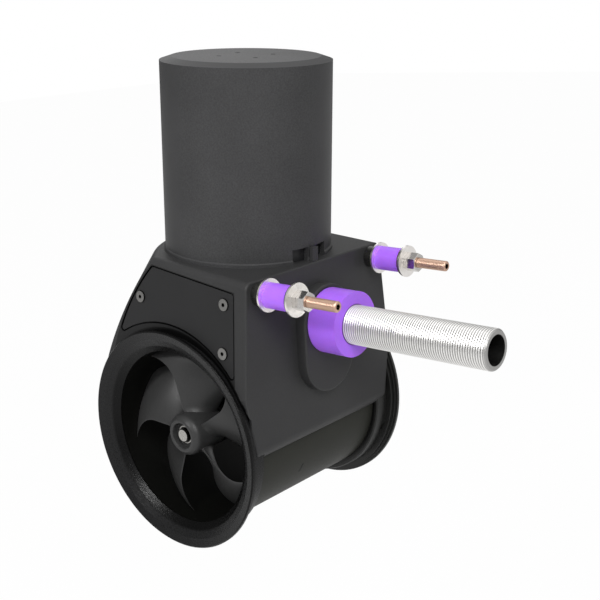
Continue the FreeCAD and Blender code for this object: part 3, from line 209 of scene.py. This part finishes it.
def gapShade(tree):
    # Paints shade on the walls of the recess around a side cover, and a painted shadow on the saddle round each
    # mouth's rim that reads as a wide dark gap.
    place = addNode(tree, "ShaderNodeTexCoord").outputs["Object"]
    x, y, z = splitVector(tree, place)
    depth = depthBelow(x, y, z)
    topFront, topBack, tail = (Vector(coverGap[key]) for key in ("topFront", "topBack", "tail"))
    fall = (topBack.y - topFront.y) / (topFront.x - topBack.x)
    below = topFront.y + coverGap["line"] + (topFront.x - x) * fall - z
    chord = tail - topBack
    bulge = coverGap["bulge"]
    arcRadius = (chord.length_squared / 4 + bulge * bulge) / (2 * bulge)
    inward = Vector((-chord.y, chord.x)).normalized()
    centre = (topBack + tail) / 2 + inward * (arcRadius - bulge)
    acrossX, acrossZ = x - centre.x, z - centre.y
    reach = (acrossX * acrossX + acrossZ * acrossZ).work("SQRT")
    behind = arcRadius + coverGap["line"] - reach
    inside = insideStep(tree, depth - coverGap["edge"], coverGap["edgeBlur"])
    for distance in (below, behind, coverGap["front"] - x, coverGap["deepest"] - depth):
        inside = inside * insideStep(tree, distance)
    seat = insideStep(tree, coverGap["seatRadius"] - radiusAbout(tree, **tunnelLine))
    for distance in (y.work("ABSOLUTE") - coverGap["seatSide"], coverGap["seatFront"] - x):
        seat = seat * insideStep(tree, distance)
    dark = 1.0 - coverGap["low"]
    return (1.0 - inside * dark) * (1.0 - seat * dark)


dashValues = {
    "middle": (-24.4 * mm, -15.6 * mm, -121.8 * mm),
    "along": (-0.432, -0.216, -0.876),
    "halfLength": 3.3 * mm,
    "halfWidth": 0.9 * mm,
    "blur": 0.54 * mm,
    "low": 0.08,
}


def dashShade(tree):
    # Paints the shade of a short slot in the tube's wall, below the front plate.
    place = addNode(tree, "ShaderNodeTexCoord").outputs["Object"]
    away = [part - middle for part, middle in zip(splitVector(tree, place), dashValues["middle"])]
    along = sum(part * share for part, share in zip(away, dashValues["along"]))
    held = along.work("MAXIMUM", -dashValues["halfLength"]).work("MINIMUM", dashValues["halfLength"])
    off = [part - held * share for part, share in zip(away, dashValues["along"])]
    gap = sum(part * part for part in off).work("SQRT")
    edge = dashValues["halfWidth"]
    return ranged(tree, gap, dashValues["low"], 1.0, edge, edge + dashValues["blur"])


patchSize = 40 * mm
glowDepth = 1.5 * mm


def makeMaterial(name, look):
    # A surface with slow patches and fine grain in its colour, and the grain in its roughness and height too.
    # Painted shade and painted highlights that a look lists are multiplied into the colour.
    material = bpy.data.materials.new(name)
    material.use_nodes = True
    tree = material.node_tree
    shader = tree.nodes["Principled BSDF"]
    stretch = look.get("stretch", (1, 1, 1))
    grain = grainValue(tree, look["grain"] * mm, look.get("detail", 2.0), stretch)
    patch = grainValue(tree, patchSize)
    spread = look.get("spread", 0.1)
    amount = ranged(tree, grain, 1 - spread, 1 + spread)
    amount = amount * ranged(tree, patch, 1 - spread / 2, 1 + spread / 2)
    for shade in look.get("paintedShadeAndLight", ()):
        # Painted shade between two radii, inside a bore, groove, gap or socket, down in a thread or on a rim's outer
        # edge, and a painted highlight on a rim's step edges.
        radius = radiusAbout(tree, shade["centre"], shade["axis"])
        if "mid" in shade:
            radius = (radius - shade["mid"]).work("ABSOLUTE")
        amount = amount * ranged(tree, radius, shade["low"], shade["high"], shade["from"], shade["to"])
    # Painted shade in the cover recesses and round the mouths' rims.
    if look.get("paintedGapShade"):
        amount = amount * gapShade(tree)
    # Painted shade for a slot in the tube.
    if look.get("dash"):
        amount = amount * dashShade(tree)
    # Painted shade on whatever lies sunk below a side face.
    if "sunk" in look:
        amount = amount * sunkShade(tree, look["sunk"] * mm)
    plug(tree, shader.inputs["Base Color"], shadeOf(tree, look["colour"], amount))
    rough = look["roughness"]
    uneven = look.get("uneven", 0.05)
    plug(tree, shader.inputs["Roughness"], ranged(tree, grain, rough - uneven, rough + uneven))
    shader.inputs["Metallic"].default_value = look.get("metal", 0.0)
    shader.inputs["Specular IOR Level"].default_value = look.get("specular", 0.5)
    if look.get("glow"):
        shader.inputs["Subsurface Weight"].default_value = look["glow"]
        shader.inputs["Subsurface Scale"].default_value = glowDepth
    bump = addNode(tree, "ShaderNodeBump", {"Height": grain, "Strength": look.get("bump", 0.4),
                                            "Distance": look.get("depth", 0.05) * mm})
    plug(tree, shader.inputs["Normal"], bump.outputs[0])
    return material


tunnelLine = {"axis": "Y", "centre": (-placeValues["tunnelBack"], 0, -placeValues["tunnelDrop"])}
conduitLine = {"axis": "X", "centre": (0, 0, 0)}
studLine = {"axis": "X", "centre": (0, placeValues["studSide"], placeValues["studRise"])}


def stretchShade(line, low, high, start, end, mid=None):
    # The factor goes from low to high between these two distances from the line, or from a radius about it.
    shade = {**line, "low": low, "high": high, "from": start * mm, "to": end * mm}
    if mid is not None:
        shade["mid"] = mid * mm
    return shade


# Painted shade in the bores, grooves, gaps, the stud socket, the thread's roots and on the near rim's outer edge,
# and a painted highlight on the far rim's step edges.
tunnelBoreShade = stretchShade(tunnelLine, 0.04, 1.0, 74.6, 76.6)
rimEdgeShade = stretchShade(tunnelLine, 1.0, 0.15, 86.7, 87.4)
tubeBoreShade = stretchShade(tunnelLine, 0.12, 1.0, 70.5, 73.5)
collarGrooveShade = stretchShade(tunnelLine, 0.1, 1.0, 0.5, 1.1, 76.6)
rimStepHighlight = stretchShade(tunnelLine, 1.0, 3.2, 86.9, 87.5)
nutCollarShade = stretchShade(tunnelLine, 0.03, 1.0, 0.7, 1.0, 5.6)
sleeveGapShade = stretchShade(conduitLine, 0.22, 1.0, 15.3, 15.9)
threadRootShade = stretchShade(conduitLine, 0.4, 1.0, 14.5, 14.98)
conduitBoreShade = stretchShade(conduitLine, 0.35, 1.0, 10.95, 11.3)
studSocketShade = stretchShade(studLine, 0.02, 1.0, 1.9, 2.1)

violetLook = {"colour": (0.38, 0.14, 0.84), "roughness": 0.42, "grain": 0.8, "spread": 0.04, "bump": 0.12,
              "specular": 0.3, "glow": 0.15}
looks = {
    "mouldedBlack": {"colour": (0.0305, 0.0305, 0.031), "roughness": 0.5, "grain": 0.9, "spread": 0.12, "bump": 0.35,
                     "specular": 0.2, "paintedGapShade": True},
    "potBlack": {"colour": (0.041, 0.041, 0.042), "roughness": 0.46, "grain": 1.1, "spread": 0.16, "bump": 0.6,
                 "specular": 0.16},
    "coverBlack": {"colour": (0.0175, 0.0175, 0.018), "roughness": 0.46, "grain": 0.7, "spread": 0.1, "bump": 0.25,
                   "specular": 0.2, "sunk": 0.7},
    # The near mouth's colour is darker than the far mouth's: painted shade that offsets the sparkLamp's light on it.
    "mouthBlack": {"colour": (0.0095, 0.0095, 0.0098), "roughness": 0.3, "grain": 1.0, "spread": 0.2,
                   "uneven": 0.1, "bump": 0.9, "depth": 0.18, "detail": 4.0, "specular": 0.16,
                   "paintedShadeAndLight": [tunnelBoreShade, rimEdgeShade]},
    "farMouthBlack": {"colour": (0.012, 0.0122, 0.0115), "roughness": 0.36, "grain": 1.0, "spread": 0.2,
                      "uneven": 0.1, "bump": 0.7, "depth": 0.14, "detail": 4.0, "specular": 0.25,
                      "paintedShadeAndLight": [tunnelBoreShade, collarGrooveShade, rimStepHighlight]},
    "tubeBlack": {"colour": (0.023, 0.0235, 0.0195), "roughness": 0.5, "grain": 1.4, "spread": 0.12, "bump": 0.3,
                  "specular": 0.09, "dash": True, "paintedShadeAndLight": [tubeBoreShade]},
    "propellerBlack": {"colour": (0.032, 0.032, 0.032), "roughness": 0.4, "grain": 1.2, "spread": 0.08, "bump": 0.15,
                       "specular": 0.25},
    "legBlack": {"colour": (0.014, 0.014, 0.014), "roughness": 0.5, "grain": 1.0, "spread": 0.1, "bump": 0.3,
                 "specular": 0.2},
    "violetPolymer": violetLook,
    "violetSleeve": {**violetLook, "paintedShadeAndLight": [sleeveGapShade]},
    "rubberBlack": {"colour": (0.012, 0.012, 0.011), "roughness": 0.3, "grain": 0.6, "spread": 0.15, "bump": 0.3},
    "sealBlack": {"colour": (0.02, 0.02, 0.02), "roughness": 0.6, "grain": 0.5, "spread": 0.2, "bump": 0.4},
    "threadSteel": {"colour": (0.97, 0.96, 0.94), "roughness": 0.36, "grain": 0.5, "spread": 0.02, "bump": 0.0,
                    "metal": 1.0, "stretch": (0.3, 1, 1), "paintedShadeAndLight": [threadRootShade, conduitBoreShade]},
    "stainless": {"colour": (0.56, 0.54, 0.52), "roughness": 0.24, "grain": 0.5, "spread": 0.1, "uneven": 0.08,
                  "bump": 0.25, "metal": 1.0},
    "nutSteel": {"colour": (0.56, 0.54, 0.52), "roughness": 0.14, "grain": 0.8, "spread": 0.1, "uneven": 0.05,
                 "bump": 0.03, "metal": 1.0},
    "nutEnd": {"colour": (0.42, 0.41, 0.39), "roughness": 0.32, "grain": 0.6, "spread": 0.25, "uneven": 0.08,
               "bump": 0.3, "metal": 1.0, "paintedShadeAndLight": [nutCollarShade]},
    "screwSteel": {"colour": (0.3, 0.295, 0.285), "roughness": 0.34, "grain": 0.5, "spread": 0.2, "uneven": 0.08,
                   "bump": 0.25, "metal": 1.0, "sunk": -0.3},
    "washerSteel": {"colour": (0.93, 0.9, 0.87), "roughness": 0.3, "grain": 3.0, "spread": 0.04, "uneven": 0.03,
                    "bump": 0.0, "metal": 1.0},
    "copperStud": {"colour": (0.6, 0.4, 0.3), "roughness": 0.4, "grain": 0.5, "spread": 0.06, "uneven": 0.03,
                   "bump": 0.0, "metal": 1.0, "stretch": (0.25, 1, 1), "paintedShadeAndLight": [studSocketShade]},
    "groundSteel": {"colour": (0.5, 0.5, 0.51), "roughness": 0.3, "grain": 0.4, "spread": 0.08, "bump": 0.2,
                    "metal": 1.0},
    "castAluminium": {"colour": (0.6, 0.61, 0.62), "roughness": 0.5, "grain": 0.7, "spread": 0.12, "bump": 0.6,
                      "metal": 1.0},
    "yokePaint": {"colour": (0.012, 0.012, 0.013), "roughness": 0.4, "grain": 0.8, "spread": 0.1, "bump": 0.3,
                  "specular": 0.3},
    "ferrite": {"colour": (0.06, 0.06, 0.064), "roughness": 0.7, "grain": 0.4, "spread": 0.25, "bump": 0.7},
    "laminations": {"colour": (0.3, 0.3, 0.31), "roughness": 0.45, "grain": 0.35, "spread": 0.3, "bump": 0.8,
                    "metal": 1.0, "stretch": (0.05, 0.05, 1)},
    "copperWire": {"colour": (0.72, 0.36, 0.2), "roughness": 0.35, "grain": 0.6, "spread": 0.3, "bump": 0.9,
                   "metal": 1.0, "stretch": (1, 1, 0.1)},
    "carbon": {"colour": (0.03, 0.03, 0.03), "roughness": 0.65, "grain": 0.3, "spread": 0.3, "bump": 0.5},
    "phenolic": {"colour": (0.16, 0.08, 0.04), "roughness": 0.45, "grain": 0.6, "spread": 0.2, "bump": 0.3},
    "spiderRubber": {"colour": (0.5, 0.06, 0.04), "roughness": 0.55, "grain": 0.6, "spread": 0.1, "bump": 0.3},
}
materials = {name: makeMaterial(name, look) for name, look in looks.items()}

nodeFinish = {
    "mouldedBlack": "mounting_saddle",
    "potBlack": "motor_pot",
    "coverBlack": "near_side_cover far_side_cover",
    "mouthBlack": "near_bell_mouth",
    "farMouthBlack": "far_bell_mouth",
    "tubeBlack": "tunnel_tube",
    "propellerBlack": "propeller",
    "legBlack": "gear_leg pod_cap",
    "violetPolymer": "stud_sleeves",
    "violetSleeve": "conduit_sleeve",
    "rubberBlack": "stud_seat_rings stud_gaskets",
    "sealBlack": "pot_seal motor_shaft_seal leg_seal prop_shaft_seal",
    "threadSteel": "conduit_pipe",
    "stainless": "drive_pin prop_shaft motor_base_bolts",
    "screwSteel": "cover_screws",
    "nutEnd": "propeller_nut",
    "nutSteel": "stud_nuts thin_nuts",
    "washerSteel": "inner_washers outer_washers",
    "copperStud": "mounting_studs",
    "groundSteel": "motor_shaft pinion_shaft pinion_gear crown_gear lower_motor_bearing upper_motor_bearing "
                   "lower_leg_bearing upper_leg_bearing front_prop_bearing rear_prop_bearing",
    "castAluminium": "lower_end_bell upper_end_bell lower_coupling_half upper_coupling_half",
    "yokePaint": "motor_yoke motor_base",
    "ferrite": "field_magnets",
    "laminations": "armature_core",
    "copperWire": "armature_windings commutator motor_terminals",
    "carbon": "carbon_brushes",
    "phenolic": "brush_holder",
    "spiderRubber": "coupling_spider",
}
for finish, names in nodeFinish.items():
    for name in names.split():
        slots = nodes[name].data.materials
        slots.clear()
        slots.append(materials[finish])
print("stage: materials on", sum(len(n.split()) for n in nodeFinish.values()), "nodes")


# Pieces.

sharpAngle = math.radians(34)
threadSharpAngle = math.radians(44)


def linkPiece(name, mesh, finish=None):
    piece = bpy.data.objects.new(name, mesh)
    bpy.context.scene.collection.objects.link(piece)
    if finish:
        mesh.materials.append(materials[finish])
    return piece


def newTree(name, sizes):
    # A tree with a material input and one named input for each size.
    tree = bpy.data.node_groups.new(name, "GeometryNodeTree")
    tree.interface.new_socket(name="Geometry", in_out="OUTPUT", socket_type="NodeSocketGeometry")
    tree.interface.new_socket(name="Material", in_out="INPUT", socket_type="NodeSocketMaterial")
    for label, value in sizes.items():
        kind = "NodeSocketInt" if isinstance(value, int) else "NodeSocketFloat"
        tree.interface.new_socket(name=label, in_out="INPUT", socket_type=kind).default_value = value
    entry = tree.nodes.new("NodeGroupInput")
    given = {label: nodeSum(tree, entry.outputs[label]) for label in sizes}
    given["Material"] = entry.outputs["Material"]
    return tree, given


def closeTree(tree, geometry, material):
    solid = addNode(tree, "GeometryNodeRealizeInstances", {0: geometry}).outputs[0]
    smooth = addNode(tree, "GeometryNodeSetShadeSmooth", {"Geometry": solid}).outputs[0]
    dressed = addNode(tree, "GeometryNodeSetMaterial", {"Geometry": smooth, "Material": material}).outputs[0]
    tree.links.new(dressed, tree.nodes.new("NodeGroupOutput").inputs[0])


def growMesh(name, tree, sizes, finish, place, sharp=sharpAngle):
    # Runs a tree with these sizes and keeps its result as a plain mesh, set into place.
    piece = linkPiece(name, bpy.data.meshes.new(name + "Seed"))
    modifier = piece.modifiers.new(name, "NODES")
    modifier.node_group = tree
    sockets = {item.name: item.identifier for item in tree.interface.items_tree if item.in_out == "INPUT"}
    modifier[sockets["Material"]] = materials[finish]
    for label, value in sizes.items():
        modifier[sockets[label]] = value
    graph = bpy.context.evaluated_depsgraph_get()
    mesh = bpy.data.meshes.new_from_object(piece.evaluated_get(graph))
    piece.modifiers.clear()
    mesh.set_sharp_from_angle(angle=sharp)
    mesh.name = name
    piece.data = mesh
    mesh.transform(place)
    return piece


def unitTube(tree, around, rows):
    # An open tube: its angle and how far up it a point lies, from 0 to 1.
    tube = addNode(tree, "GeometryNodeMeshCylinder", {"Vertices": around, "Side Segments": rows, "Radius": 1.0,
                                                      "Depth": 1.0}, fill_type="NONE")
    x, y, z = splitVector(tree, addNode(tree, "GeometryNodeInputPosition").outputs[0])
    return tube.outputs["Mesh"], y.work("ARCTAN2", x), z + 0.5


def shaped(tree, mesh, x, y, z):
    place = joinVector(tree, x, y, z)
    return addNode(tree, "GeometryNodeSetPosition", {"Geometry": mesh, "Position": place}).outputs[0]


mergeDistance = 0.01 * mm


def joined(tree, parts):
    join = tree.nodes.new("GeometryNodeJoinGeometry")
    for part in parts:
        tree.links.new(part, join.inputs[0])
    merged = addNode(tree, "GeometryNodeMergeByDistance", {0: join.outputs[0], "Distance": mergeDistance})
    return merged.outputs[0]


# Threaded rods: a plain shank, a helical thread, a chamfered end and a round bore or a hexagon socket.

rodDefaults = {
    "Length": 100 * mm,
    "Shank": 40 * mm,
    "Shank Radius": 14 * mm,
    "Radius": 15 * mm,
    "Pitch": 2 * mm,
    "Thread Depth": 1 * mm,
    "Chamfer": 1 * mm,
    "Bore": 10 * mm,
    "Bore Depth": 100 * mm,
    "Through": 0.0,
    "Hexagon": 0.0,
    "Around": 64,
    "Rows": 500,
}
threadTree, given = newTree("threadedRod", rodDefaults)


def rodSkin():
    # The first two rows bound the shank, and the rest share out the thread's length.
    tube, angle, share = unitTube(threadTree, given["Around"], given["Rows"])
    row = share * given["Rows"]
    threadRow = (row - 2.0).work("MAXIMUM", 0.0) / (given["Rows"] - 2.0)
    height = row.work("MINIMUM", 1.0) * given["Shank"] + threadRow * (given["Length"] - given["Shank"])
    wave = 0.5 - 0.5 * (height / given["Pitch"] * (2 * math.pi) - angle).work("COSINE")
    drop = (given["Chamfer"] - (given["Length"] - height)).work("MAXIMUM", 0.0)
    thread = given["Radius"] - (wave * given["Thread Depth"]).work("MAXIMUM", drop)
    threaded = (row - 1.0).work("MAXIMUM", 0.0).work("MINIMUM", 1.0)
    radius = given["Shank Radius"] + (thread - given["Shank Radius"]) * threaded
    return shaped(threadTree, tube, radius * angle.work("COSINE"), radius * angle.work("SINE"), height)


def boreRadius(angle):
    # A circle, or a hexagon around it.
    sixth = (angle + math.pi).work("MODULO", math.pi / 3) - math.pi / 6
    return given["Bore"] * ((1.0 / sixth.work("COSINE")) * given["Hexagon"] + (1.0 - given["Hexagon"]))


def rodFace(startRadius, endRadius, startHeight, endHeight):
    # A ring or a wall between two radii and two heights, each a function of the angle.
    tube, angle, share = unitTube(threadTree, given["Around"], 1)
    start, end = startRadius(angle), endRadius(angle)
    radius = start + share * (end - start)
    height = startHeight + share * (endHeight - startHeight)
    return shaped(threadTree, tube, radius * angle.work("COSINE"), radius * angle.work("SINE"), height)


def throughRadius(angle):
    return boreRadius(angle) * given["Through"]


floorHeight = given["Length"] - given["Bore Depth"]
lowHeight = given["Length"] * 0.0
closeTree(threadTree, joined(threadTree, [
    rodSkin(),
    rodFace(lambda angle: given["Radius"] - given["Chamfer"], boreRadius, given["Length"], given["Length"]),
    rodFace(boreRadius, boreRadius, given["Length"], floorHeight),
    rodFace(boreRadius, throughRadius, floorHeight, floorHeight),
    rodFace(throughRadius, lambda angle: given["Shank Radius"], lowHeight, lowHeight),
]), given["Material"])

conduitValues = {
    "Length": 168.3 * mm,
    "Shank": 47.3 * mm,
    "Shank Radius": 14.7 * mm,
    "Radius": 15 * mm,
    "Pitch": 2 * mm,
    "Thread Depth": 0.5 * mm,
    "Chamfer": 1.3 * mm,
    "Bore": 10.9 * mm,
    "Bore Depth": 168.3 * mm,
    "Through": 1.0,
    "Around": 96,
    "Rows": 730,
}
conduitRoot = 22 * mm
conduitThread = growMesh("conduit_thread", threadTree, conduitValues, "threadSteel",
                         conduitFrame @ Matrix.Translation((0, 0, -conduitRoot)), threadSharpAngle)
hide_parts("conduit_pipe")
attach(conduitThread, "housing")

studValues = {
    "Length": 93.8 * mm,
    "Shank": 68.6 * mm,
    "Shank Radius": 3.7 * mm,
    "Radius": 4 * mm,
    "Pitch": 1.25 * mm,
    "Thread Depth": 0.16 * mm,
    "Chamfer": 0.6 * mm,
    "Bore": 1.75 * mm,
    "Bore Depth": 6 * mm,
    "Hexagon": 1.0,
    "Around": 48,
    "Rows": 200,
}
studRoot = 30 * mm
for label, side in (("near", -1), ("far", 1)):
    stud = growMesh(label + "_stud_thread", threadTree, studValues, "copperStud",
                    studFrame(side) @ Matrix.Translation((0, 0, -studRoot)))
    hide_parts("mounting_studs")
    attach(stud, "housing")
print("stage: threads on the conduit and studs")

# Propeller blades: one closed blade from pitch, chord and skew, turned round the hub.

bladeValues = {
    "Hub Radius": 17 * mm,
    "Tip Radius": 68.6 * mm,
    "Pitch": 150 * mm,
    "Front": 69.5 * mm,
    "First Angle": math.radians(106),
    "Chord Angle": math.radians(52),
    "Skew Start": 40 * mm,
    "Skew": math.radians(18),
    "Corner Start": 46 * mm,
    "Corner Angle": math.radians(24),
    "Root Thickness": 5 * mm,
    "Tip Thickness": 1.8 * mm,
    "Root Sink": 4 * mm,
    "Fillet Reach": 5 * mm,
    "Fillet Swell": 4 * mm,
    "Fullness": 0.62,
    "End Taper": 40.0,
    "Around": 40,
    "Rows": 36,
    "Count": 5,
}
bladeTree, given = newTree("bladeRing", bladeValues)


def bladeRamp(radius, start):
    # 0 up to a start radius, then rising faster and faster to 1 at the tip.
    share = ((radius - start) / (given["Tip Radius"] - start)).work("MAXIMUM", 0.0)
    return share * share


def bladeSkin():
    tube, angle, share = unitTube(bladeTree, given["Around"], given["Rows"])
    inner = given["Hub Radius"] - given["Root Sink"]
    radius = inner + share * (given["Tip Radius"] - inner)
    skew = given["Skew"] * bladeRamp(radius, given["Skew Start"])
    corner = given["Corner Angle"] * bladeRamp(radius, given["Corner Start"])
    along = 0.5 - 0.5 * angle.work("COSINE")
    sweep = along * (given["Chord Angle"] + skew - corner)
    rise = given["Pitch"] / (radius * (2 * math.pi))
    lean = 1.0 / (rise * rise + 1.0).work("SQRT")
    span = (radius - given["Hub Radius"]) / (given["Tip Radius"] - given["Hub Radius"])
    thick = given["Root Thickness"] + (given["Tip Thickness"] - given["Root Thickness"]) * span
    fillet = (1.0 - (radius - given["Hub Radius"]) / given["Fillet Reach"]).work("MAXIMUM", 0.0)
    closed = ((1.0 - share) * given["End Taper"]).work("MINIMUM", 1.0)
    closed = closed * (share * given["End Taper"]).work("MINIMUM", 1.0)
    roundness = angle.work("SINE")
    fullness = roundness * (given["Fullness"] + (1.0 - given["Fullness"]) * roundness.work("ABSOLUTE"))
    half = (thick + fillet * fillet * given["Fillet Swell"]) * 0.5 * fullness * closed
    turn = given["First Angle"] + skew - sweep - half * rise * lean / radius
    height = given["Front"] - given["Pitch"] * sweep / (2 * math.pi) + half * lean
    return shaped(bladeTree, tube, radius * turn.work("COSINE"), radius * turn.work("SINE"), height)


def bladeRing():
    blade = joined(bladeTree, [bladeSkin()])
    points = addNode(bladeTree, "GeometryNodeMeshLine", {"Count": given["Count"], "Offset": (0, 0, 0)})
    step = nodeSum(bladeTree, addNode(bladeTree, "GeometryNodeInputIndex").outputs[0])
    turn = joinVector(bladeTree, 0.0, 0.0, step * (2 * math.pi) / given["Count"])
    return addNode(bladeTree, "GeometryNodeInstanceOnPoints", {
        "Points": points.outputs[0], "Instance": blade, "Rotation": turn}).outputs[0]


closeTree(bladeTree, bladeRing(), given["Material"])
blades = growMesh("propeller_blades", bladeTree, bladeValues, "propellerBlack", nearFrame)
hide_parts("propeller")
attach(blades, "propeller_set")


# Turned pieces: a closed outline of (radius, height) with rounded corners, spun about a frame's Z.

def roundedOutline(points, rounding, steps=4):
    # Each corner is cut back by its own amount, or less on a short side, and bridged with a curve.
    outline = []
    count = len(points)
    for i, corner in enumerate(points):
        here = Vector(corner)
        before = Vector(points[i - 1]) - here
        after = Vector(points[(i + 1) % count]) - here
        reach = min(rounding[i], before.length * 0.49, after.length * 0.49)
        if reach <= 0 or corner[0] <= 0:
            outline.append(here)
            continue
        start = here + before.normalized() * reach
        end = here + after.normalized() * reach
        for k in range(steps + 1):
            t = k / steps
            outline.append(start * (1 - t) ** 2 + here * 2 * t * (1 - t) + end * t ** 2)
    return outline


def turnedMesh(name, outline, place, around=96):
    # The outline runs round the section with the solid on its left, seen with the radius to the right.
    vertices = []
    for k in range(around):
        angle = 2 * math.pi * k / around
        vertices += [(r * math.cos(angle), r * math.sin(angle), h) for r, h in outline]
    count = len(outline)
    faces = []
    for k in range(around):
        for i in range(count):
            a, b = k * count + i, k * count + (i + 1) % count
            c, d = ((k + 1) % around) * count + (i + 1) % count, ((k + 1) % around) * count + i
            faces.append((a, d, c, b))
    mesh = bpy.data.meshes.new(name)
    mesh.from_pydata(vertices, [], faces)
    mesh.validate()
    mesh.transform(place)
    for polygon in mesh.polygons:
        polygon.use_smooth = True
    mesh.set_sharp_from_angle(angle=sharpAngle)
    return mesh


hubValues = {
    "back": 46.5 * mm,
    "front": 75 * mm,
    "nose": 78.7 * mm,
    "radius": 17 * mm,
    "noseRadius": 12.9 * mm,
    "recessRadius": 10.4 * mm,
    "recessFloor": 72.7 * mm,
    "recessStep": 0.4 * mm,
    "bore": 5.05 * mm,
    "rounding": [0, 1 * mm, 3 * mm, 1.2 * mm, 0.6 * mm, 0.4 * mm, 0],
}
hubOutline = roundedOutline([
    (hubValues["bore"], hubValues["back"]),
    (hubValues["radius"], hubValues["back"]),
    (hubValues["radius"], hubValues["front"]),
    (hubValues["noseRadius"], hubValues["nose"]),
    (hubValues["recessRadius"], hubValues["nose"] - hubValues["recessStep"]),
    (hubValues["recessRadius"], hubValues["recessFloor"]),
    (hubValues["bore"], hubValues["recessFloor"]),
], hubValues["rounding"])
hub = linkPiece("propeller_hub", turnedMesh("propeller_hub", hubOutline, nearFrame), "propellerBlack")
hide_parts("propeller")
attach(hub, "propeller_set")
print("stage: propeller")


# Floor, light and camera.

stageValues = {
    "floorDrop": 0.45,
    "floorSize": 8.0,
    "floorColour": 0.9,
    "floorBright": 0.975,
    "ambient": 0.36,
    "shineLow": 0.4,
    "shineHigh": 1.15,
    "boatSide": 1.25,
    "seaSide": 0.35,
    "floorShine": 0.55,
    "speckleSize": 0.02,
    "speckle": 0.01,
    "shineTop": 0.8,
    "sideReach": 0.7,
}


def shineRays(tree, ray):
    # 1 for the rays that mirror or pass through something, 0 for the others.
    glossy, through = (nodeSum(tree, ray.outputs[name]) for name in ("Is Glossy Ray", "Is Transmission Ray"))
    return glossy.work("MAXIMUM", through)


def makeFloor():
    size = stageValues["floorSize"]
    low = -stageValues["floorDrop"]
    mesh = bpy.data.meshes.new("floor")
    mesh.from_pydata([(-size, -size, low), (size, -size, low), (size, size, low), (-size, size, low)], [],
                     [(0, 1, 2, 3)])
    material = bpy.data.materials.new("paleFloor")
    material.use_nodes = True
    tree = material.node_tree
    tree.nodes.clear()
    grey = stageValues["floorColour"]
    spread = stageValues["speckle"]
    speckle = ranged(tree, grainValue(tree, stageValues["speckleSize"]), grey - spread, grey + spread)
    plain = addNode(tree, "ShaderNodeBsdfDiffuse", {"Color": joinVector(tree, speckle, speckle, speckle)})
    bright = addNode(tree, "ShaderNodeEmission", {"Color": (1, 1, 1, 1), "Strength": 1.0})
    ray = addNode(tree, "ShaderNodeLightPath")
    seen = nodeSum(tree, ray.outputs["Is Camera Ray"])
    share = (seen * stageValues["floorBright"]).work("MAXIMUM", shineRays(tree, ray) * stageValues["floorShine"])
    mix = addNode(tree, "ShaderNodeMixShader", {"Fac": share, 1: plain.outputs[0], 2: bright.outputs[0]})
    out = addNode(tree, "ShaderNodeOutputMaterial", {"Surface": mix.outputs[0]})
    out.is_active_output = True
    floor = linkPiece("floor", mesh)
    mesh.materials.append(material)


def makeWorld():
    world = bpy.data.worlds.new("studio")
    bpy.context.scene.world = world
    world.use_nodes = True
    tree = world.node_tree
    tree.nodes.clear()
    ray = addNode(tree, "ShaderNodeLightPath")
    x, y, z = splitVector(tree, addNode(tree, "ShaderNodeTexCoord").outputs["Generated"])
    reach = stageValues["sideReach"]
    rise = ranged(tree, z, stageValues["shineLow"], stageValues["shineHigh"], 0.0, stageValues["shineTop"])
    shine = rise * ranged(tree, x, stageValues["boatSide"], stageValues["seaSide"], reach, -reach)
    camera = nodeSum(tree, ray.outputs["Is Camera Ray"])
    glossy = shineRays(tree, ray)
    level = camera + (1.0 - camera) * (glossy * shine + (1.0 - glossy) * stageValues["ambient"])
    back = addNode(tree, "ShaderNodeBackground", {"Color": (1, 1, 1, 1), "Strength": level})
    addNode(tree, "ShaderNodeOutputWorld", {"Surface": back.outputs[0]})


lampValues = {
    "topLamp": {"place": (-0.1, 0.1, 1.8), "size": 1.4, "power": 6.0},
    "keyLamp": {"place": (1.05, -0.85, 1.0), "size": 0.9, "power": 20.0},
    "sparkLamp": {"place": (-0.15, -1.35, 0.75), "size": 0.2, "power": 9.0},
    "rimLamp": {"place": (-1.2, 0.9, 0.9), "size": 1.0, "power": 2.2},
}
lampAim = (-0.05, 0, 0)


def makeLamp(name, values):
    lamp = bpy.data.lights.new(name, "AREA")
    lamp.shape = "DISK"
    lamp.size = values["size"]
    lamp.energy = values["power"]
    piece = bpy.data.objects.new(name, lamp)
    bpy.context.scene.collection.objects.link(piece)
    piece.location = values["place"]
    aim = Vector(lampAim) - piece.location
    piece.rotation_euler = aim.to_track_quat("-Z", "Y").to_euler()


cameraValues = {
    "place": (0.5189, -0.6070, 0.2321),
    "right": (0.75149, 0.65727, -0.05756),
    "forward": (-0.64686, 0.71680, -0.26039),
    "lens": 65.63,
    "sensor": 36,
    "nearest": 0.01,
}


def makeCamera():
    forward = Vector(cameraValues["forward"]).normalized()
    right = Vector(cameraValues["right"])
    right = (right - forward * right.dot(forward)).normalized()
    up = right.cross(forward)
    camera = bpy.data.cameras.new("camera")
    camera.lens = cameraValues["lens"]
    camera.sensor_width = cameraValues["sensor"]
    camera.clip_start = cameraValues["nearest"]
    piece = bpy.data.objects.new("camera", camera)
    bpy.context.scene.collection.objects.link(piece)
    turn = Matrix((right, up, -forward)).transposed().to_4x4()
    piece.matrix_world = Matrix.Translation(cameraValues["place"]) @ turn
    bpy.context.scene.camera = piece


makeFloor()
makeWorld()
for name, values in lampValues.items():
    makeLamp(name, values)
makeCamera()
bpy.context.scene.view_settings.view_transform = "Standard"
print("stage: floor, light and camera")
